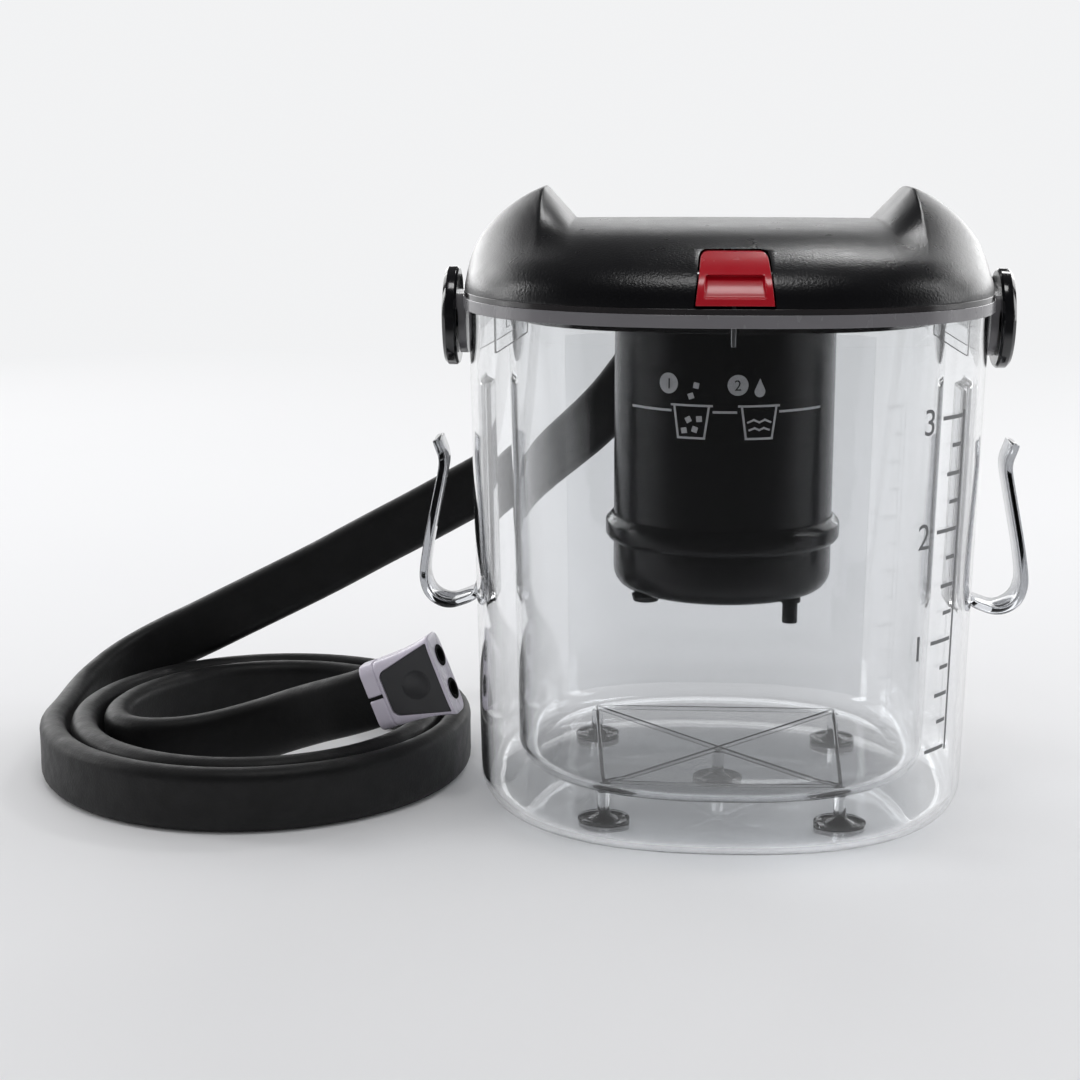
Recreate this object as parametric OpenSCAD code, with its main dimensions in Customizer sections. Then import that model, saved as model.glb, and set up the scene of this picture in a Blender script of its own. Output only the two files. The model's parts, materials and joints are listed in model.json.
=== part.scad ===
// Cold therapy machine: clear double-wall ice tank, saddle lid with a hanging pump canister,
// fold-back carrying handle, two side hooks, and a flat twin hose with a quick connector.
// Millimetres. Front is -Y, right is +X, up is +Z. The origin is the middle of the base, on the floor.

/* [Tank] */
// Width of the tank at its rim
tank_w = 220; // [200:1:240]
// Depth of the tank at its rim, front to back
tank_d = 212; // [190:1:230]
// Height of the tank's rim above the floor
tank_h = 220; // [212:1:240]
// How much narrower the tank is at its base than at its rim
draft_w = 10; // [0:1:16]
// How much shallower the tank is at its base than at its rim
draft_d = 8; // [0:1:16]
// Squareness of the plan outline, 2 being an ellipse
plan_power = 2.4; // [2:0.1:3]
// Thickness of the clear outer wall
outer_wall = 3; // [2:0.1:4]
// Thickness of the clear inner wall
inner_wall = 2.5; // [2:0.1:3.5]
// Distance from the outer face of the tank to the outer face of the inner bucket
wall_space = 16.5; // [14:0.5:18]
// Radius of the tank's bottom edge
base_round = 14; // [8:1:20]
// Radius of the inner bucket's bottom edge
bucket_round = 11; // [8:1:16]

/* [Base] */
// Height of the rubber feet
foot_h = 4; // [2:0.5:8]
// Diameter of the rubber feet
foot_dia = 22; // [14:1:30]
// Height of the space between the two floors
floor_space = 15; // [10:0.5:18]
// Width of the moulded ribs under the inner floor
rib_w = 1.6; // [1:0.1:3]
// Height of the moulded ribs under the inner floor
rib_h = 2; // [1:0.1:4]

/* [Rim] */
// Height of the clear rim ring that closes the double wall
rim_h = 5; // [4:0.5:8]
// How far the rim ring and the lid stand out past the tank
rim_out = 1.5; // [0.5:0.1:3]
// How far the rim ring reaches inwards past the inner bucket's wall
rim_lip = 0.5; // [0.3:0.1:2]

/* [Lid] */
// Thickness of the lid pan's flange, seen as the dark strip
flange_t = 2.3; // [1.5:0.1:4]
// Height of the lid's valley above its lower edge
valley_h = 27.7; // [26:0.1:40]
// Height of the two horns above the lid's lower edge
horn_h = 42.2; // [36:0.1:55]
// Distance of each horn's peak from the middle
horn_x = 78.5; // [70:0.5:85]
// Half the width of the valley's floor
valley_half = 66; // [50:1:68]
// Thickness of the lid cover
lid_wall = 3; // [2:0.1:4]
// Depth of the lid's plug below the rim's top
plug_depth = 9; // [6:0.5:14]
// Running gap between the plug and the rim ring
plug_gap = 1; // [0.6:0.1:2]

/* [Latch] */
// Width of the latch lever at its top
latch_top_w = 26; // [20:0.5:30]
// Width of the latch lever at its bottom
latch_low_w = 30; // [24:0.5:36]
// Radius of the latch pin
latch_pin_r = 1.5; // [1:0.1:2.5]
// Gap round the latch lever
latch_gap = 0.7; // [0.4:0.1:1.5]

/* [Handle] */
// Depth of the handle's pivot below the rim's top
pivot_drop = 10.4; // [9:0.1:14]
// Distance from the handle's pivot to the middle of its grip
handle_reach = 142; // [139:1:165]
// Thickness of the handle's arms
arm_t = 5.5; // [4:0.5:8]
// Height of the handle's arms when folded back
arm_h = 16; // [12:1:22]
// Diameter of the round hubs at the pivots
hub_dia = 42.5; // [34:0.5:43]
// Diameter of the clear boss behind each hub
boss_dia = 32; // [26:0.5:33]
// Radius of the stub shaft that each hub turns on
stub_r = 5; // [3:0.5:7]
// Diameter of the soft grip
grip_dia = 20; // [16:1:24]

/* [Canister] */
// Diameter of the pump canister
can_dia = 95.5; // [85:0.5:98]
// Diameter of the joint band round the canister
band_dia = 102.5; // [99:0.5:108]
// Height of the canister's underside above the floor
can_base_z = 97; // [85:1:105]
// Height of the canister's removable base
can_base_h = 22; // [18:1:26]
// Height of the joint band
band_h = 11; // [8:1:14]
// Wall thickness of the canister
can_wall = 2.5; // [2:0.1:3.5]
// Diameter of the pump motor
motor_dia = 28; // [24:1:32]
// Length of the pump motor
motor_len = 42; // [36:1:46]
// Outside radius of the inner water tubes
tube_r = 4; // [3.4:0.1:4.5]
// Bore radius of the inner water tubes
tube_bore_r = 2.8; // [2:0.1:3]

/* [Hooks] */
// Width of each side hook, front to back
hook_w = 20; // [14:1:24]
// Thickness of the hook's strip
hook_t = 3.5; // [2.5:0.1:4]
// Depth of the recess that each hook's inner leg sits in
recess_depth = 4.5; // [3.5:0.1:5.5]

/* [Hose] */
// Width of the flat hose, which stands on edge
hose_w = 28; // [24:0.5:30]
// Thickness of the flat hose
hose_t = 12; // [10:0.5:14]
// Distance between one turn of the coil and the next
coil_pitch = 14.2; // [13.5:0.1:16]

/* [Connector] */
// Height of the connector's open end
conn_end_w = 38; // [35:0.5:42]
// Thickness of the connector's open end
conn_end_t = 18; // [16:0.5:22]
// Length of the connector's shell
conn_len = 29; // [27:0.5:36]
// Radius of each port's bore
port_r = 3.5; // [2.5:0.1:4]
// Distance between the two ports
port_span = 16; // [14:0.5:18]
// How far the release button travels
button_travel = 1.6; // [1:0.1:1.8]

/* [Hidden] */
$fn = 48;
eps = 0.01;
seat_gap = 0.3;      // gap between pieces that seat on each other
run_gap = 0.05;      // radial gap of a turning fit
plan_steps = 64;     // points round a plan outline

clear_shell = [0.86, 0.88, 0.92, 0.30];
clear_inner = [0.80, 0.83, 0.88, 0.30];
black_plastic = [0.09, 0.09, 0.10];
gloss_black = [0.06, 0.06, 0.07];
rubber_black = [0.12, 0.12, 0.13];
dark_grey = [0.25, 0.26, 0.28];
lilac_grey = [0.78, 0.75, 0.82];
latch_red = [0.72, 0.08, 0.14];
steel = [0.70, 0.71, 0.73];

half_w = tank_w / 2;
half_d = tank_d / 2;
rim_z = tank_h + rim_h;                 // top of the rim ring, where the lid rests
lid_z = rim_z + flange_t;               // lower edge of the lid cover
lid_a = half_w + rim_out;               // half width of rim ring and lid
lid_b = half_d + rim_out;               // half depth of rim ring and lid
inner_a = half_w - wall_space - inner_wall - rim_lip; // half width of the mouth
inner_b = half_d - wall_space - inner_wall - rim_lip; // half depth of the mouth
pivot_z = rim_z - pivot_drop;
plug_a = inner_a - plug_gap;
plug_b = inner_b - plug_gap;
pan_z = rim_z - plug_depth;             // underside of the lid's plug
pan_t = 2.5;
outer_floor_z = foot_h + outer_wall;    // top of the outer floor
inner_floor_z = outer_floor_z + floor_space;

// ---------- shared shapes ----------

function se_radius(a, b, angle, power = plan_power) =
    1 / pow(pow(abs(cos(angle)) / a, power) + pow(abs(sin(angle)) / b, power), 1 / power);

function plan(a, b) = [for (i = [0:plan_steps - 1])
    let (t = 360 * i / plan_steps, r = se_radius(a, b, t)) [r * cos(t), r * sin(t)]];

module plan_ring(outer_a, outer_b, inner_a, inner_b, h) {
    linear_extrude(h) difference() {
        polygon(plan(outer_a, outer_b));
        polygon(plan(inner_a, inner_b));
    }
}

// Skins a list of equal closed rings, and closes the first and the last with a flat cap.
module loft(rings) {
    n = len(rings[0]);
    m = len(rings);
    polyhedron(
        points = [for (ring = rings) each ring],
        faces = [
            for (i = [0:m - 2], j = [0:n - 1]) each let (k = (j + 1) % n) [
                [i * n + j, (i + 1) * n + j, (i + 1) * n + k],
                [i * n + j, (i + 1) * n + k, i * n + k]],
            [for (j = [0:n - 1]) j],
            [for (j = [n - 1:-1:0]) (m - 1) * n + j]]);
}

function mix(a, b, t) = a + (b - a) * t;
function clamp01(t) = max(0, min(1, t));
function smooth(t) = let (c = clamp01(t)) c * c * (3 - 2 * c);
function unit(v) = v / norm(v);

// ---------- tank ----------

recess_half = hook_w / 2 + 0.6;         // half the width of a hook recess
recess_low = 88;
recess_high = 188;
recess_edge = 1.5;                      // run of the recess's sloping ends

// Angles round the tank, with pairs set close beside each recess edge.
recess_angle = atan(recess_half / (half_w - recess_depth));
shell_angles = let (
        near = [0, recess_angle * 0.5, recess_angle - 0.3, recess_angle + 0.6],
        far = [for (i = [2:15]) 360 * i / 64 - 1.2 + 1.2 * i / 16],
        quarter = concat(near, far, [90]))
    concat(
        quarter,
        [for (i = [len(quarter) - 2:-1:0]) 180 - quarter[i]],
        [for (i = [1:len(quarter) - 1]) 180 + quarter[i]],
        [for (i = [len(quarter) - 2:-1:1]) 360 - quarter[i]]);

function side_w(z) = half_w - draft_w / 2 * (1 - z / tank_h);
function side_d(z) = half_d - draft_d / 2 * (1 - z / tank_h);
function in_recess(angle, z) =
    let (off = min(abs(angle), abs(angle - 180), abs(angle - 360)))
    off < recess_angle ? clamp01((z - recess_low) / recess_edge) * clamp01((recess_high - z) / recess_edge) : 0;

function shell_ring(z, inset, recess = 0) = [for (t = shell_angles)
    let (r = se_radius(side_w(z) - inset, side_d(z) - inset, t) - recess * in_recess(t, z))
    [r * cos(t), r * sin(t), z]];

// A cup's outside or inside: the rounded foot of the wall, then the levels above it.
function cup_rings(floor_z, inset, corner, levels, recess = 0) = concat(
    [for (k = [0:4]) let (t = 90 - 22.5 * k)
        shell_ring(floor_z + corner * (1 - sin(t)), inset + corner * (1 - cos(t)), 0)],
    [for (z = levels) shell_ring(z, inset, recess)]);

function reversed(list) = [for (i = [len(list) - 1:-1:0]) list[i]];

module outer_shell() {
    levels = [recess_low, recess_low + recess_edge, recess_high - recess_edge, recess_high, tank_h];
    color(clear_shell) loft(concat(
        cup_rings(foot_h, 0, base_round, levels, recess_depth),
        reversed(cup_rings(outer_floor_z, outer_wall, base_round - outer_wall, levels, recess_depth))));
}

// Corners of the floor's rib frame, and of the posts under it: half widths and depths.
frame_front = [49.5, -57.5];
frame_rear = [57.5, 60];
frame_mid = mix(frame_front[1], frame_rear[1], frame_front[0] / (frame_front[0] + frame_rear[0]));

module rib(a, b) {
    hull() for (p = [a, b]) translate(p) circle(d = rib_w, $fn = 24);
}

module floor_ribs() {
    translate([0, 0, inner_floor_z - rib_h]) linear_extrude(rib_h + inner_wall / 2) {
        for (p = [frame_front, frame_rear]) rib([-p[0], p[1]], p);
        for (s = [-1, 1]) {
            rib([s * frame_front[0], frame_front[1]], [s * frame_rear[0], frame_rear[1]]);
            rib([-s * frame_front[0], frame_front[1]], [s * frame_rear[0], frame_rear[1]]);
        }
    }
}

module inner_bucket() {
    corner = bucket_round;
    color(clear_inner) union() {
        loft(concat(
            cup_rings(inner_floor_z, wall_space, corner, [tank_h / 2, tank_h]),
            reversed(cup_rings(inner_floor_z + inner_wall, wall_space + inner_wall, corner - inner_wall,
                [tank_h / 2, tank_h]))));
        floor_ribs();
    }
}

boss_x = lid_a + 2.5;                   // outer face of the clear boss
hub_x = boss_x + 0.5;                   // inner face of the handle's hub
hub_t = 6;
slot_w = 9;
slot_out = lid_b - 4.5;
slot_in = lid_b - 12.5;
pivot_screw_r = 1.6;

module rim_ring() {
    color(clear_shell) difference() {
        union() {
            translate([0, 0, tank_h]) plan_ring(lid_a, lid_b, inner_a, inner_b, rim_h);
            for (s = [-1, 1]) scale_x(s) {
                intersection() {
                    translate([half_w + 0.6, 0, pivot_z]) rotate([0, 90, 0])
                        cylinder(d = boss_dia, h = boss_x - half_w - 0.6);
                    translate([0, -boss_dia, 0]) cube([boss_x, 2 * boss_dia, rim_z]);
                }
                translate([boss_x - eps, 0, pivot_z]) rotate([0, 90, 0])
                    cylinder(r = stub_r, h = hub_x + 3.6 - boss_x);
            }
        }
        translate([-slot_w / 2, -slot_out, tank_h - 1]) cube([slot_w, slot_out - slot_in, rim_h + 2]);
        for (s = [-1, 1]) scale_x(s)
            translate([half_w + 1.6, 0, pivot_z]) rotate([0, 90, 0])
                cylinder(r = pivot_screw_r, h = 12);
    }
}

module scale_x(s) {
    if (s < 0) mirror([1, 0, 0]) children();
    else children();
}

module pivot_screws() {
    head_x = hub_x + 3.9;
    color(steel) for (s = [-1, 1]) scale_x(s) translate([0, 0, pivot_z]) rotate([0, 90, 0]) {
        translate([0, 0, head_x]) cylinder(r = 6.4, h = 1);
        translate([0, 0, half_w + 2]) cylinder(r = pivot_screw_r - run_gap, h = head_x - half_w - 2 + eps);
    }
}

post_places = [for (s = [-1, 1], p = [frame_front, frame_rear]) [s * p[0], p[1]]];

module tank_feet() {
    color(rubber_black) for (p = concat([[0, 0]], post_places)) translate([p[0], p[1], 0])
        rotate_extrude() polygon([[0, 0], [foot_dia / 2 - 1, 0], [foot_dia / 2, 1],
            [foot_dia / 2, foot_h], [0, foot_h]]);
}

post_r = 2.6;

// A clear post under each crossing of the ribs, with a ringed disc where it stands on the outer floor.
module floor_spacers() {
    color(clear_inner) for (p = concat([[0, frame_mid]], post_places))
        translate([p[0], p[1], outer_floor_z]) rotate_extrude() polygon([
            [0, 0], [foot_dia / 2, 0], [foot_dia / 2, 1.4], [foot_dia / 2 - 1.2, 1.4], [foot_dia / 2 - 2.2, 0.8],
            [6, 0.8], [5, 1.6], [post_r + 1, 2.4], [post_r, 4],
            [post_r, floor_space - rib_h - seat_gap], [0, floor_space - rib_h - seat_gap]]);
}

// ---------- side hooks ----------

// The middle line of the hook's strip, from the top of its inner leg round to the free tip,
// as distances out from the tank's middle and heights.
leg_out = hook_t / 2 + seat_gap;
function recess_floor(z) = side_w(z) - recess_depth;
hook_top = recess_high - recess_edge - 1;
hook_line = concat(
    [for (z = [hook_top, 140, 106]) [recess_floor(z) + leg_out, z],
     [recess_floor(98) + leg_out + 0.9, 99.4], [recess_floor(94) + leg_out + 3.6, 92.6]],
    [for (p = [[5.4, 89.2], [10.2, 88.4], [14.8, 89.8], [18.4, 93], [20.3, 97.6], [20.6, 103.5], [18.9, 115],
        [15.7, 131], [12.8, 145], [11.9, 150.5], [12.2, 154.5], [13.6, 158.5], [14.6, 161.5]])
        [half_w + p[0], p[1]]]);

function line_dir(line, i) = unit(line[min(i + 1, len(line) - 1)] - line[max(i - 1, 0)]);
function strip_side(line, half) = [for (i = [0:len(line) - 1])
    let (d = line_dir(line, i)) line[i] + half * [-d[1], d[0]]];

module hook_strip() {
    fine = catmull(hook_line, 3);
    translate([0, hook_w / 2, 0]) rotate([90, 0, 0]) linear_extrude(hook_w)
        polygon(concat(strip_side(fine, hook_t / 2), reversed(strip_side(fine, -hook_t / 2))));
}

// A smooth line through the points, with a number of steps between each pair.
function catmull(p, steps) = concat(
    [for (i = [0:len(p) - 2], k = [0:steps - 1])
        let (a = p[max(i - 1, 0)], b = p[i], c = p[i + 1], d = p[min(i + 2, len(p) - 1)], t = k / steps)
        0.5 * (2 * b + (c - a) * t + (2 * a - 5 * b + 4 * c - d) * t * t
            + (3 * b - a - 3 * c + d) * t * t * t)],
    [p[len(p) - 1]]);

module hook_left() {
    color(clear_shell) mirror([1, 0, 0]) hook_strip();
}

module hook_right() {
    color(clear_shell) hook_strip();
}

// ---------- lid ----------

half_stations = [0, 0.19, 0.38, 0.5, valley_half / lid_a, (valley_half + horn_x) / 2 / lid_a,
    horn_x / lid_a, 0.745, 0.81, 0.87, 0.92, 0.955, 0.98, 0.994];
across = concat([for (i = [len(half_stations) - 1:-1:1]) -half_stations[i]], half_stations);
half_depths = [0, 0.18, 0.36, 0.52, 0.65, 0.76, 0.85, 0.915, 0.96, 0.988, 1];
along = concat([for (i = [len(half_depths) - 1:-1:1]) -half_depths[i]], half_depths);

// Height of the lid above its lower edge, at a share of its width and of its depth there.
// The horns rise from the front and keep their height to the rear, where the lid is fuller.
function horn_profile(x) =
    x < valley_half ? valley_h
    : x < horn_x ? mix(valley_h, horn_h, (x - valley_half) / (horn_x - valley_half))
    : horn_h * pow(1 - pow(min(1, (x - horn_x) / (lid_a - horn_x)), 1.2), 1 / 2.25);
function dome_profile(u) = valley_h * pow(1 - pow(abs(u), 3.4), 1 / 2);
function lid_height(u, s) =
    let (horn = smooth((s + 0.82) / 0.92), fall = s < 0 ? 3 : 5)
    mix(dome_profile(u), horn_profile(abs(u) * lid_a), horn) * pow(max(0, 1 - pow(abs(s), fall)), 1 / 2.2);

function lid_point(u, s, inset) =
    let (b = (lid_b - inset) * pow(1 - pow(abs(u), plan_power), 1 / plan_power),
        h = lid_height(u, s))
    [u * (lid_a - inset), s * b, lid_z + h * (1 - inset / valley_h)];

module lid_skin() {
    nu = len(across);
    ns = len(along);
    sheet = nu * ns;
    outer = [for (u = across, s = along) lid_point(u, s, 0)];
    inner = [for (u = across, s = along) lid_point(u, s, lid_wall)];
    poles = [for (inset = [0, lid_wall], s = [-1, 1]) [s * (lid_a - inset), 0, lid_z]];
    left = 2 * sheet;
    right = left + 1;
    function at(layer, i, j) = layer * sheet + i * ns + j;
    polyhedron(
        points = concat(outer, inner, poles),
        faces = [
            for (i = [0:nu - 2], j = [0:ns - 2]) each [
                [at(0, i, j), at(0, i, j + 1), at(0, i + 1, j + 1)],
                [at(0, i, j), at(0, i + 1, j + 1), at(0, i + 1, j)],
                [at(1, i, j), at(1, i + 1, j + 1), at(1, i, j + 1)],
                [at(1, i, j), at(1, i + 1, j), at(1, i + 1, j + 1)]],
            for (j = [0:ns - 2]) each [
                [left, at(0, 0, j + 1), at(0, 0, j)],
                [left + 2, at(1, 0, j), at(1, 0, j + 1)],
                [right, at(0, nu - 1, j), at(0, nu - 1, j + 1)],
                [right + 2, at(1, nu - 1, j + 1), at(1, nu - 1, j)]],
            for (i = [0:nu - 2]) each [
                [at(0, i, 0), at(0, i + 1, 0), at(1, i + 1, 0)],
                [at(0, i, 0), at(1, i + 1, 0), at(1, i, 0)],
                [at(0, i, ns - 1), at(1, i + 1, ns - 1), at(0, i + 1, ns - 1)],
                [at(0, i, ns - 1), at(1, i, ns - 1), at(1, i + 1, ns - 1)]],
            [left, at(0, 0, 0), at(1, 0, 0)], [left, at(1, 0, 0), left + 2],
            [left, at(1, 0, ns - 1), at(0, 0, ns - 1)], [left, left + 2, at(1, 0, ns - 1)],
            [right, at(1, nu - 1, 0), at(0, nu - 1, 0)], [right, right + 2, at(1, nu - 1, 0)],
            [right, at(0, nu - 1, ns - 1), at(1, nu - 1, ns - 1)],
            [right, at(1, nu - 1, ns - 1), right + 2]]);
}

latch_low_z = lid_z + 1.2;
latch_top_z = lid_z + 20.5;

// The latch's trapezoid outline seen from the front, grown by a margin.
module latch_outline(margin, low_extra = 0) {
    polygon([
        [-latch_low_w / 2 - margin, latch_low_z - margin - low_extra],
        [latch_low_w / 2 + margin, latch_low_z - margin - low_extra],
        [latch_top_w / 2 + margin, latch_top_z - 2 + margin],
        [latch_top_w / 2 - 2 + margin / 2, latch_top_z + margin],
        [-latch_top_w / 2 + 2 - margin / 2, latch_top_z + margin],
        [-latch_top_w / 2 - margin, latch_top_z - 2 + margin]]);
}

module latch_prism(margin, low_extra = 0) {
    translate([0, 30 - lid_b, 0]) rotate([90, 0, 0]) linear_extrude(40) latch_outline(margin, low_extra);
}

inlet_x = 62;
inlet_z = lid_z + 11;
inlet_r = 6.5;
inlet_bore_r = 2.8;
inlet_y = lid_b - 19.5;                 // inner end of the inlet's barrel
inlet_len = 16;

neck_x = 2;
neck_w = 28;
neck_z = lid_z + 3;
neck_h = 14;
neck_in = lid_b - 23.5;                 // inner end of the gland's neck

module lid_cover() {
    color(black_plastic) difference() {
        lid_skin();
        latch_prism(latch_gap, 3);
        translate([neck_x - seat_gap, neck_in, neck_z - seat_gap])
            cube([neck_w + 2 * seat_gap, 40, neck_h + 2 * seat_gap]);
        translate([inlet_x, inlet_y - 12, inlet_z]) rotate([-90, 0, 0])
            cylinder(r = inlet_r + seat_gap, h = 50);
    }
}

pin_y = 16.5 - lid_b;
pin_z = lid_z + 11;
blade_slot_w = 8;

module lid_pan() {
    color(black_plastic) difference() {
        union() {
            translate([0, 0, rim_z]) plan_ring(lid_a, lid_b, plug_a - 6, plug_b - 6, flange_t);
            translate([0, 0, pan_z + pan_t - eps])
                plan_ring(plug_a, plug_b, plug_a - pan_t, plug_b - pan_t, rim_z - pan_z - pan_t + 2 * eps);
            translate([0, 0, pan_z]) linear_extrude(pan_t) polygon(plan(plug_a, plug_b));
            for (s = [-1, 1]) translate([s * (latch_low_w / 2 + 2.6) - 1.25, pin_y - 2.4, lid_z - eps])
                difference() {
                    cube([2.5, 5.4, pin_z - lid_z + 2.3]);
                    translate([-1, 2.4, pin_z - lid_z]) rotate([0, 90, 0]) cylinder(r = latch_pin_r, h = 5);
                }
        }
        translate([-blade_slot_w / 2, -slot_out, rim_z - 1])
            cube([blade_slot_w, slot_out - slot_in, flange_t + 2]);
        for (x = tube_places) translate([x, tube_y, pan_z - 1])
            cylinder(r = tube_r + seat_gap, h = pan_t + 2);
        for (p = screw_places) translate([p[0], p[1], pan_z - 1]) cylinder(r = 1.8, h = pan_t + 2);
    }
}

module lid_seal() {
    color(rubber_black) translate([0, 0, rim_z - 4])
        plan_ring(plug_a + plug_gap - seat_gap, plug_b + plug_gap - seat_gap, plug_a, plug_b, 2.5);
}

screw_places = [for (t = [0:90:270]) [cos(t), sin(t)] * (can_dia / 2 - 7)];

module lid_screws() {
    color(steel) for (p = screw_places) translate([p[0], p[1], pan_z - 7]) {
        cylinder(r = 1.6, h = 7 + pan_t + eps);
        translate([0, 0, 7 + pan_t]) cylinder(r = 3.4, h = 2);
    }
}

module latch_pin() {
    color(steel) translate([-latch_low_w / 2 - 4, pin_y, pin_z]) rotate([0, 90, 0])
        cylinder(r = latch_pin_r - 0.02, h = latch_low_w + 8);
}

// Two torsion springs on the pin, each between the lever's barrel and an ear.
module latch_springs() {
    color(steel) for (s = [-1, 1]) scale_x(s) translate([8.6, pin_y, pin_z]) rotate([0, 90, 0])
        linear_extrude(latch_low_w / 2 - 7.6) difference() {
            circle(r = latch_pin_r + 0.8);
            circle(r = latch_pin_r + run_gap);
        }
}

tube_places = [9, 23];
tube_y = 30;
gland_back = lid_b + 16.5;              // rear face of the gland
gland_slope = 50;                       // how steeply the hose leaves, below the level

gland_dir = [-cos(gland_slope), 0, -sin(gland_slope)];
hose_start = [-3, 116.3, 226];

module hose_gland() {
    color(black_plastic) difference() {
        union() {
            translate([neck_x, neck_in, neck_z]) cube([neck_w, lid_b - neck_in + 1.5, neck_h]);
            intersection() {
                translate([-30, lid_b + 0.6, lid_z - 18]) cube([neck_x + neck_w + 32, gland_back - lid_b - 0.6, 40]);
                translate([hose_start[0], 0, hose_start[2]]) rotate([0, -gland_slope, 0]) rotate([0, 90, 0])
                    translate([-hose_w / 2 - 2.5, 60, 0]) gland_block();
            }
        }
        for (x = tube_places) translate([x, neck_in - 1, neck_z + neck_h / 2]) rotate([-90, 0, 0])
            cylinder(r = tube_r + seat_gap, h = 20);
    }
}

// The gland's body along the hose's own direction: its mouth is at height 0.
module gland_block() {
    cube([hose_w + 5, 80, 26]);
}

module power_inlet() {
    color(black_plastic) translate([inlet_x, inlet_y, inlet_z]) rotate([-90, 0, 0]) difference() {
        union() {
            cylinder(r = inlet_r, h = inlet_len);
            translate([0, 0, inlet_len]) cylinder(r = inlet_r + 1.5, h = 3);
        }
        translate([0, 0, 5]) cylinder(r = inlet_bore_r, h = inlet_len);
    }
}

// ---------- pump canister ----------

band_z = can_base_z + can_base_h;
body_z = band_z + band_h;
can_r = can_dia / 2;

module canister_body() {
    inner = can_r - can_wall;
    color(gloss_black) difference() {
        rotate_extrude($fn = 96) polygon([
            [inner, body_z], [can_r, body_z], [can_r, pan_z - 4], [can_r + 1.5, pan_z - 2.5],
            [can_r + 1.5, pan_z], [0, pan_z], [0, pan_z - 3], [inner, pan_z - 3]]);
        for (x = tube_places) translate([x, tube_y, pan_z - 4]) cylinder(r = tube_r + seat_gap, h = 5);
        for (p = screw_places) translate([p[0], p[1], pan_z - 4]) cylinder(r = 1.6 + run_gap, h = 5);
    }
}

module canister_band() {
    r = band_dia / 2;
    color(gloss_black) rotate_extrude($fn = 96) polygon([
        [can_r - can_wall, band_z], [r - 1.5, band_z], [r, band_z + 2], [r, band_z + band_h - 3],
        [r - 2, band_z + band_h - 0.8], [can_r + 0.8, band_z + band_h], [can_r - can_wall, band_z + band_h]]);
}

module canister_base() {
    corner = 9;
    arc = [for (t = [0:15:90]) [can_r - corner + corner * cos(t), can_base_z + corner - corner * sin(t)]];
    ci = corner - can_wall;
    inner_arc = [for (t = [90:-15:0])
        [can_r - corner + ci * cos(t), can_base_z + corner - ci * sin(t)]];
    color(gloss_black) difference() {
        rotate_extrude($fn = 96) polygon(concat(
            [[can_r, band_z]], arc, [[0, can_base_z], [0, can_base_z + can_wall]], inner_arc,
            [[can_r - can_wall, band_z]]));
        translate([nozzle_at[0], nozzle_at[1], can_base_z - 1]) cylinder(r = nozzle_r + run_gap, h = can_wall + 2);
        translate([foot_at[0], foot_at[1], can_base_z - 1]) cylinder(r = 2.2, h = can_wall + 2);
        translate([tube_places[1], tube_y, can_base_z - 1]) cylinder(r = tube_r + run_gap, h = corner + 2);
    }
}

nozzle_at = [29, -23];
nozzle_r = 3.3;
nozzle_drop = 11;
foot_at = [-33, -19];

module intake_nozzle() {
    color(gloss_black) translate([nozzle_at[0], nozzle_at[1], 0]) difference() {
        union() {
            translate([0, 0, can_base_z - nozzle_drop]) cylinder(r = nozzle_r, h = nozzle_drop + can_wall);
            translate([0, 0, can_base_z - 2]) cylinder(r = nozzle_r + 1.2, h = 2);
        }
        translate([0, 0, can_base_z - nozzle_drop - 1]) cylinder(r = nozzle_r - 1.2, h = nozzle_drop + can_wall + 2);
    }
}

module base_foot() {
    color(gloss_black) translate([foot_at[0], foot_at[1], 0]) {
        translate([0, 0, can_base_z - 3]) cylinder(r1 = 5.4, r2 = 6.2, h = 3);
        translate([0, 0, can_base_z - eps]) cylinder(r = 2.15, h = can_wall);
    }
}

housing_z = can_base_z + can_wall;
housing_h = 17;
motor_z = housing_z + housing_h + 15;
mount_z = motor_z + motor_len;
shaft_r = 1.5;

module motor() {
    color(steel) difference() {
        union() {
            translate([0, 0, motor_z]) cylinder(d = motor_dia, h = motor_len);
            translate([0, 0, motor_z - 3]) cylinder(r = 5, h = 3 + eps);
        }
        translate([0, 0, motor_z - 4]) cylinder(r = shaft_r + run_gap, h = 20);
    }
}

module motor_mount() {
    color(dark_grey) difference() {
        translate([0, 0, mount_z]) cylinder(r = can_r - can_wall - 0.2, h = 3);
        for (x = tube_places) translate([x, tube_y, mount_z - 1]) cylinder(r = tube_r + seat_gap, h = 5);
        translate([-22, -14, mount_z - 1]) cylinder(r = 5, h = 5);
    }
}

impeller_r = 12;

module pump_housing() {
    color(dark_grey) difference() {
        union() {
            translate([0, 0, housing_z]) cylinder(r = 18, h = housing_h);
            translate([tube_places[0], 0, housing_z + 8]) rotate([-90, 0, 0]) cylinder(r = 6, h = tube_y + 5);
        }
        translate([0, 0, housing_z + 2.5]) cylinder(r = impeller_r + 1, h = housing_h - 5);
        translate([0, 0, housing_z + 3]) cylinder(r = shaft_r + 0.4, h = housing_h);
        translate([0, 0, housing_z - 1]) cylinder(r = 5, h = 5);
        for (t = [0:60:300]) rotate(t) translate([10, -2, housing_z - 1]) cube([10, 4, 2.6]);
        translate([tube_places[0], 5, housing_z + 8]) rotate([-90, 0, 0]) cylinder(r = tube_bore_r, h = tube_y - 2);
        translate([tube_places[0], tube_y, housing_z + 8]) cylinder(r = tube_bore_r, h = 10);
    }
}

module impeller() {
    color(lilac_grey) translate([0, 0, housing_z + 3.5]) union() {
        cylinder(r = impeller_r, h = 1.4);
        cylinder(r = 3.2, h = 9);
        for (t = [0:60:300]) rotate(t) translate([2, -0.6, 1]) cube([impeller_r - 2.6, 1.2, 8]);
        cylinder(r = shaft_r, h = motor_z - housing_z - 3.5 + 8);
    }
}

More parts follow.
